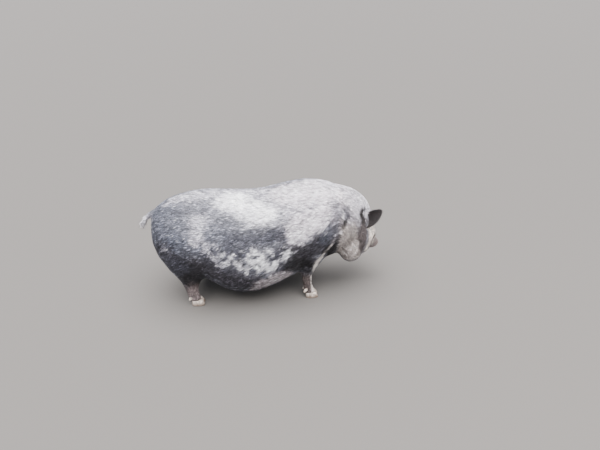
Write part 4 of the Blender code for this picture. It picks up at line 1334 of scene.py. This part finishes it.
locks = lock_shapes(roots, facing, way, length, width, lift)
print(count, "locks shaped,", round(time.time() - began, 1), "s")

# %% [markdown]
# ## Lashes, whiskers, the fringe of the ears and the tuft of the tail
# A few hairs are far longer than the rest and stand free of the skin, so they don't hug
# it. They are the same kind of lock, with roots picked along the lids, on the lips and
# chin, on the rims of the ears and at the end of the tail.

# %% Long hairs
LASHES = 22
LASH_LENGTH = 0.0085
WHISKERS = 64
WHISKER_LENGTH = 0.016
FRINGE = 150
FRINGE_LENGTH = 0.011
TUFT = 190
TUFT_LENGTH = 0.027
TUFT_WIDTH = 0.0015
FINE_WIDTH = 0.0006
LASH_BROWN = tint(40, 34, 32)


def free_locks(starts, facing, way, length, width, droop):
    """Locks that stand free and bend down by a share of their length."""
    way, facing = unit(way), unit(facing)
    across = unit(np.cross(facing, way))
    over = unit(np.cross(way, across))
    half = (width / 2)[:, None]
    reach = length[:, None]
    sag = np.array((0.0, 0.0, -1.0)) * (length * droop)[:, None]
    middle = starts + way * reach * 0.5 + sag * 0.25
    root = starts - facing * 0.0012
    return np.stack([
        root - across * half,
        root + across * half,
        root + over * half * 1.4,
        middle - across * half * 0.7 - over * half * 0.2,
        middle + across * half * 0.7 - over * half * 0.2,
        middle + over * half * 0.8,
        starts + way * reach + sag,
    ], axis=1)


def lash_rows(side):
    """Roots and ways of the lashes of one eye, on the rims of its lids."""
    gaze, slit, rise = gaze_axes(side)
    turn = np.concatenate([np.linspace(0.12, 0.88, LASHES * 2 // 3) * math.pi,
                           np.linspace(1.2, 1.8, LASHES - LASHES * 2 // 3) * math.pi])
    turn = turn + rng.normal(0, 0.03, LASHES)
    tall = np.where(np.sin(turn) > 0, OPENING_RISE, OPENING_DROP) + 0.0008
    wide = np.cos(turn)[:, None] * slit * (OPENING_HALF + 0.0004)
    high = (np.sin(turn) * tall)[:, None] * rise
    ball = np.sqrt(EYE_RADIUS ** 2 - np.sum((wide + high) ** 2, axis=1))
    starts = np.array(node_middle(f"eye_{side}")) + wide + high
    starts = starts + gaze * (ball + LID_THICK * 0.7)[:, None]
    outward = gaze * 0.75 + unit(high) * 0.75 + unit(wide) * 0.25
    return starts, unit(high), outward


def some_of(rows, amount):
    """A fixed number of row numbers, picked evenly at random."""
    return rng.choice(rows, min(amount, len(rows)), replace=False)


def rooted(picked, outward, length, sizes, width, droop, tones, shades):
    """A group of free locks that grow from picked roots."""
    size = length * rng.uniform(*sizes, len(picked))
    shade = tones * rng.uniform(*shades, (len(picked), 1))
    return roots[picked], facing[picked], outward, size, np.full(len(picked), width), droop, shade


def astray(picked, lean, spread):
    """Ways that stand off the skin by a lean, each turned a little at random."""
    return way[picked] + facing[picked] * lean + rng.normal(0, spread, (len(picked), 3))


def long_hairs():
    """The shapes of all the free locks, with their roots and their colours."""
    groups = []
    for side in SIDES:
        starts, facing_out, outward = lash_rows(side)
        size = LASH_LENGTH * rng.uniform(0.7, 1.1, LASHES)
        groups.append((starts, facing_out, outward, size, np.full(LASHES, FINE_WIDTH), -0.15,
                       np.tile(LASH_BROWN, (LASHES, 1))))
    along, aside, over = head_parts(roots).T
    lips = (along > 0.045) & (along < 0.150) & (over < -0.045) & (face_mask(roots) > 0.3)
    picked = some_of(np.flatnonzero(lips), WHISKERS)
    groups.append(rooted(picked, way[picked] * 0.6 + facing[picked], WHISKER_LENGTH, (0.6, 1.2),
                         FINE_WIDTH, 0.2, CREAM, (0.3, 1.0)))
    for name in EARS:
        own = np.flatnonzero((ear_mask(roots) > 0.9) & (near_box(roots, name, 0.004) > 0.5))
        from_base = np.linalg.norm(roots[own] - np.array(BETWEEN_EARS), axis=1)
        picked = some_of(own[from_base > np.quantile(from_base, 0.72)], FRINGE)
        groups.append(rooted(picked, astray(picked, 0.15, 0.09), FRINGE_LENGTH, (0.6, 1.2),
                             FINE_WIDTH, 0.1, markings_and_painted_light(roots[picked]), (0.8, 3.0)))
    low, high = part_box("tail")
    end = (tail_mask(roots) > 0.8) & (roots[:, 0] < low[0] + 0.45 * (high[0] - low[0]))
    picked = some_of(np.flatnonzero(end), TUFT)
    groups.append(rooted(picked, astray(picked, 0.40, 0.12), TUFT_LENGTH, (0.5, 1.1),
                         TUFT_WIDTH, 0.12, FROST, (0.35, 1.0)))
    shapes = np.concatenate([free_locks(*group[:6]) for group in groups])
    starts = np.concatenate([group[0] for group in groups])
    return shapes, starts, np.concatenate([group[6] for group in groups])


long_shapes, long_roots, long_tones = long_hairs()
print(len(long_shapes), "long hairs")

# %% [markdown]
# ## Colours of the locks
# Every lock takes the marking at its root. Grizzle comes from locks that differ: some
# are frosted and some are dark, each is darker at its root and paler at its tip. The
# long hairs join them, so that every hair is coloured and gathered in the same way.

# %% Locks coloured and gathered into pieces
COAT_PIECES = 9
SALT = 0.80
SALT_LESS = 0.36
DARK_SHARE = 0.14
DARK_SHADE = 0.45
ROOT_TO_TIP = np.array((0.78, 0.78, 0.86, 1.0, 1.0, 1.06, 1.16))

lock_colours = markings_and_painted_light(roots)
grey = lock_colours.mean(axis=1)
salt = np.exp(rng.normal(0, 1, count) * (SALT - SALT_LESS * smoothstep(0.25, 0.75, grey)))
salt[rng.random(count) < DARK_SHARE] *= DARK_SHADE
lock_colours = np.concatenate([lock_colours * salt[:, None], long_tones])
tones = lock_colours[:, None, :] * ROOT_TO_TIP[None, :, None]
roots = np.concatenate([roots, long_roots])
locks = np.concatenate([locks, long_shapes])
root_map = map_places(roots)
fan = np.array([(-1, -1), (1, -1), (0, -1), (-1, 0), (1, 0), (0, 0), (0, 1)]) * PATCH
lock_map = root_map[:, None, :] + fan[None]


def coat_piece(name, chosen):
    """One mesh from the chosen locks, with their colours and their places on the map."""
    amount = len(chosen)
    faces = LOCK_FACES[None] + (np.arange(amount) * LOCK_POINTS)[:, None, None]
    faces = faces.reshape(-1, 3)
    mesh = bpy.data.meshes.new(name)
    mesh.vertices.add(amount * LOCK_POINTS)
    mesh.loops.add(len(faces) * 3)
    mesh.polygons.add(len(faces))
    mesh.vertices.foreach_set("co", locks[chosen].astype(np.float32).ravel())
    mesh.loops.foreach_set("vertex_index", faces.astype(np.int32).ravel())
    mesh.polygons.foreach_set("loop_start", np.arange(len(faces), dtype=np.int32) * 3)
    mesh.update(calc_edges=True)
    flat_map = mesh.uv_layers.new(name="OFBake")
    at_vertices = lock_map[chosen].reshape(-1, 2)
    flat_map.uv.foreach_set("vector", at_vertices[faces.ravel()].astype(np.float32).ravel())
    colour_layer(mesh, np.clip(tones[chosen], 0.003, 0.92).reshape(-1, 3))
    mesh.materials.append(BRISTLE)
    mesh.shade_smooth()
    piece = placed(name, mesh)
    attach(piece, "root")
    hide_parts(*FLESH)
    return piece


def outward_check(lock):
    """The signed volume of one lock, which is above zero when its faces look outwards."""
    return sum(np.dot(lock[a], np.cross(lock[b], lock[c])) for a, b, c in LOCK_FACES) / 6


print("volume of a lock", outward_check(locks[0] - locks[0].mean(axis=0)))
order = np.argsort(roots[:, 0])
for number, chosen in enumerate(np.array_split(order, COAT_PIECES)):
    piece = coat_piece(f"coat_{number + 1}", chosen)
    print(piece.name, len(piece.data.polygons), "triangles")
print("coat grown,", round(time.time() - began, 1), "s")

# %% [markdown]
# ## The eyes
# A pig's eye is small and dark, with a brown iris, a wide pupil and a wet cornea that
# stands out a little. A UV sphere is turned so that its pole looks out of the socket,
# the pole is pushed out for the cornea, and the colours are rings around that pole.

# %% Two eyes
CORNEA_BULGE = 0.0007
PUPIL_RING = 0.30
IRIS_RING = 0.62
PUPIL_BLACK = tint(10, 9, 9)
IRIS_BROWN = tint(66, 38, 22)
IRIS_EDGE = tint(26, 16, 12)
EYE_WHITE = tint(96, 76, 70)


def eye_material():
    """A wet eye in the colours of its layer."""
    material, shader = layer_material("wet_eye", 0.08, 0.25)
    shader.inputs["Coat Weight"].default_value = 0.3
    shader.inputs["Coat Roughness"].default_value = 0.02
    return material


def eye_piece(side, material):
    """An eyeball that looks out of its socket."""
    middle = node_middle(f"eye_{side}")
    gaze = Vector(gaze_axes(side)[0])
    turn = gaze.to_track_quat("Z", "Y").to_matrix().to_4x4()
    ball = bmesh.new()
    bmesh.ops.create_uvsphere(ball, u_segments=48, v_segments=32, radius=EYE_RADIUS)
    for vert in ball.verts:
        front = max(0, vert.co.z / EYE_RADIUS - 0.72) / 0.28
        vert.co.z += CORNEA_BULGE * front ** 0.7
    bmesh.ops.transform(ball, matrix=Matrix.Translation(middle) @ turn, verts=ball.verts)
    eye = to_piece(ball, f"eyeball_{side}", material, f"eye_{side}")
    outward = points_of(eye.data) - np.array(middle)
    height = outward @ np.array(gaze)
    ring = np.linalg.norm(outward - height[:, None] * np.array(gaze), axis=1) / EYE_RADIUS
    ring = np.where(height > 0, ring, 1.0)
    streak = 0.5 + 0.5 * cloud(outward / EYE_RADIUS, 0.12, 61)
    iris = IRIS_EDGE + (IRIS_BROWN - IRIS_EDGE) * (streak * band(ring, 0.45, 0.2))[:, None]
    tones = blend(iris, EYE_WHITE * 0.8, smoothstep(IRIS_RING - 0.05, IRIS_RING + 0.06, ring))
    pupil = 1 - smoothstep(PUPIL_RING - 0.05, PUPIL_RING + 0.05, ring)
    colour_layer(eye.data, blend(tones, PUPIL_BLACK, pupil))
    return eye


WET_EYE = eye_material()
for side in SIDES:
    print(eye_piece(side, WET_EYE).name, "made")

# %% [markdown]
# ## Horn of the feet
# Each foot has two toes in thick horn, and two small dewclaws behind. The solids already
# have their shape, so each is copied, merged, bevelled along its edges and rounded. The
# horn is pale, grown in rings, streaked, and soiled towards the ground.

# %% Toes and dewclaws
HORN_BEVEL = 0.0016
HORN_DARK = tint(104, 88, 76)
HORN_PALE = tint(214, 202, 190)
SOIL_BROWN = tint(84, 68, 56)
SOIL_HEIGHT = 0.021
HORN_WEAR = (0.52, 1.05)
RING_SCALE = 110.0
BLOTCH_SCALE = 70.0
STREAK_SCALE = 210.0


def horn_material():
    """Pale horn with growth rings, upright streaks and soiled lower edges."""
    material, shader = plain_material("horn", 0.5, 0.45)
    place = add_node(material, "ShaderNodeTexCoord")
    rings = add_node(material, "ShaderNodeTexWave", wave_type="BANDS", bands_direction="Z",
                     Scale=RING_SCALE, Distortion=5.0, Detail=2.0)
    rings.inputs["Detail Scale"].default_value = 30.0
    blotch = add_node(material, "ShaderNodeTexNoise", Scale=BLOTCH_SCALE, Detail=5.0, Roughness=0.6)
    upright = add_node(material, "ShaderNodeMapping", Scale=(1.0, 1.0, 0.14))
    streaks = add_node(material, "ShaderNodeTexNoise", Scale=STREAK_SCALE, Detail=3.0, Roughness=0.6)
    wear = remap(material, (0.3, 0.65), HORN_WEAR)
    wear_and_crease_shade = multiply(material)
    split = add_node(material, "ShaderNodeSeparateXYZ")
    low = remap(material, (0.0, SOIL_HEIGHT), (1.9, 0.0))
    ramp = add_node(material, "ShaderNodeValToRGB")
    for stop, place_on, colour in zip(ramp.color_ramp.elements, (0.34, 0.64), (HORN_DARK, HORN_PALE)):
        stop.position = place_on
        stop.color = (*colour, 1)
    soil = add_node(material, "ShaderNodeMix", data_type="RGBA")
    soil.inputs[7].default_value = (*SOIL_BROWN, 1)
    dirt = add_node(material, "ShaderNodeMath", operation="MULTIPLY")
    relief = add_node(material, "ShaderNodeBump", Strength=0.20, Distance=0.0009)
    rough = add_node(material, "ShaderNodeBump", Strength=0.3, Distance=0.0007)
    wire(
        material,
        (place.outputs["Object"], rings.inputs["Vector"]),
        (place.outputs["Object"], blotch.inputs["Vector"]),
        (place.outputs["Object"], split.inputs["Vector"]),
        (split.outputs["Z"], low.inputs["Value"]),
        (blotch.outputs["Fac"], ramp.inputs["Fac"]),
        (low.outputs["Result"], dirt.inputs[0]),
        (blotch.outputs["Fac"], dirt.inputs[1]),
        (place.outputs["Object"], upright.inputs["Vector"]),
        (upright.outputs["Vector"], streaks.inputs["Vector"]),
        (streaks.outputs["Fac"], wear.inputs["Value"]),
        (ramp.outputs["Color"], wear_and_crease_shade.inputs[6]),
        (wear.outputs["Result"], wear_and_crease_shade.inputs[7]),
        (wear_and_crease_shade.outputs[2], soil.inputs[6]),
        (dirt.outputs["Value"], soil.inputs["Factor"]),
        (soil.outputs[2], shader.inputs["Base Color"]),
        (rings.outputs["Fac"], relief.inputs["Height"]),
        (blotch.outputs["Fac"], rough.inputs["Height"]),
        (rough.outputs["Normal"], relief.inputs["Normal"]),
        (relief.outputs["Normal"], shader.inputs["Normal"]),
    )
    return material


def claw_piece(name, material):
    """A toe or dewclaw with soft edges."""
    claw = bmesh.new()
    claw.from_mesh(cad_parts[name].data)
    bmesh.ops.remove_doubles(claw, verts=claw.verts, dist=WELD)
    sharp = [edge for edge in claw.edges
             if len(edge.link_faces) == 2 and edge.calc_face_angle() > HARD_EDGE]
    bmesh.ops.bevel(claw, geom=sharp, offset=HORN_BEVEL, affect="EDGES", segments=2,
                    profile=0.5, material=-1, clamp_overlap=True)
    round_off(to_piece(claw, f"horn_{name}", material, name))


HORN = horn_material()
for name in CLAWS:
    claw_piece(name, HORN)
print(len(CLAWS), "claws,", round(time.time() - began, 1), "s")

# %% [markdown]
# ## The floor's finish, and the end
# The floor is plain and pale, so that the shadow under the belly can be read.

# %% Floor finish
FLOOR_GREY = tint(80, 77, 74)

paving, paving_shader = plain_material("pale_floor", 0.8, 0.3)
paving_shader.inputs["Base Color"].default_value = (*FLOOR_GREY, 1)
floor.data.materials.append(paving)

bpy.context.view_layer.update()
print("ready after", round(time.time() - began, 1), "s")
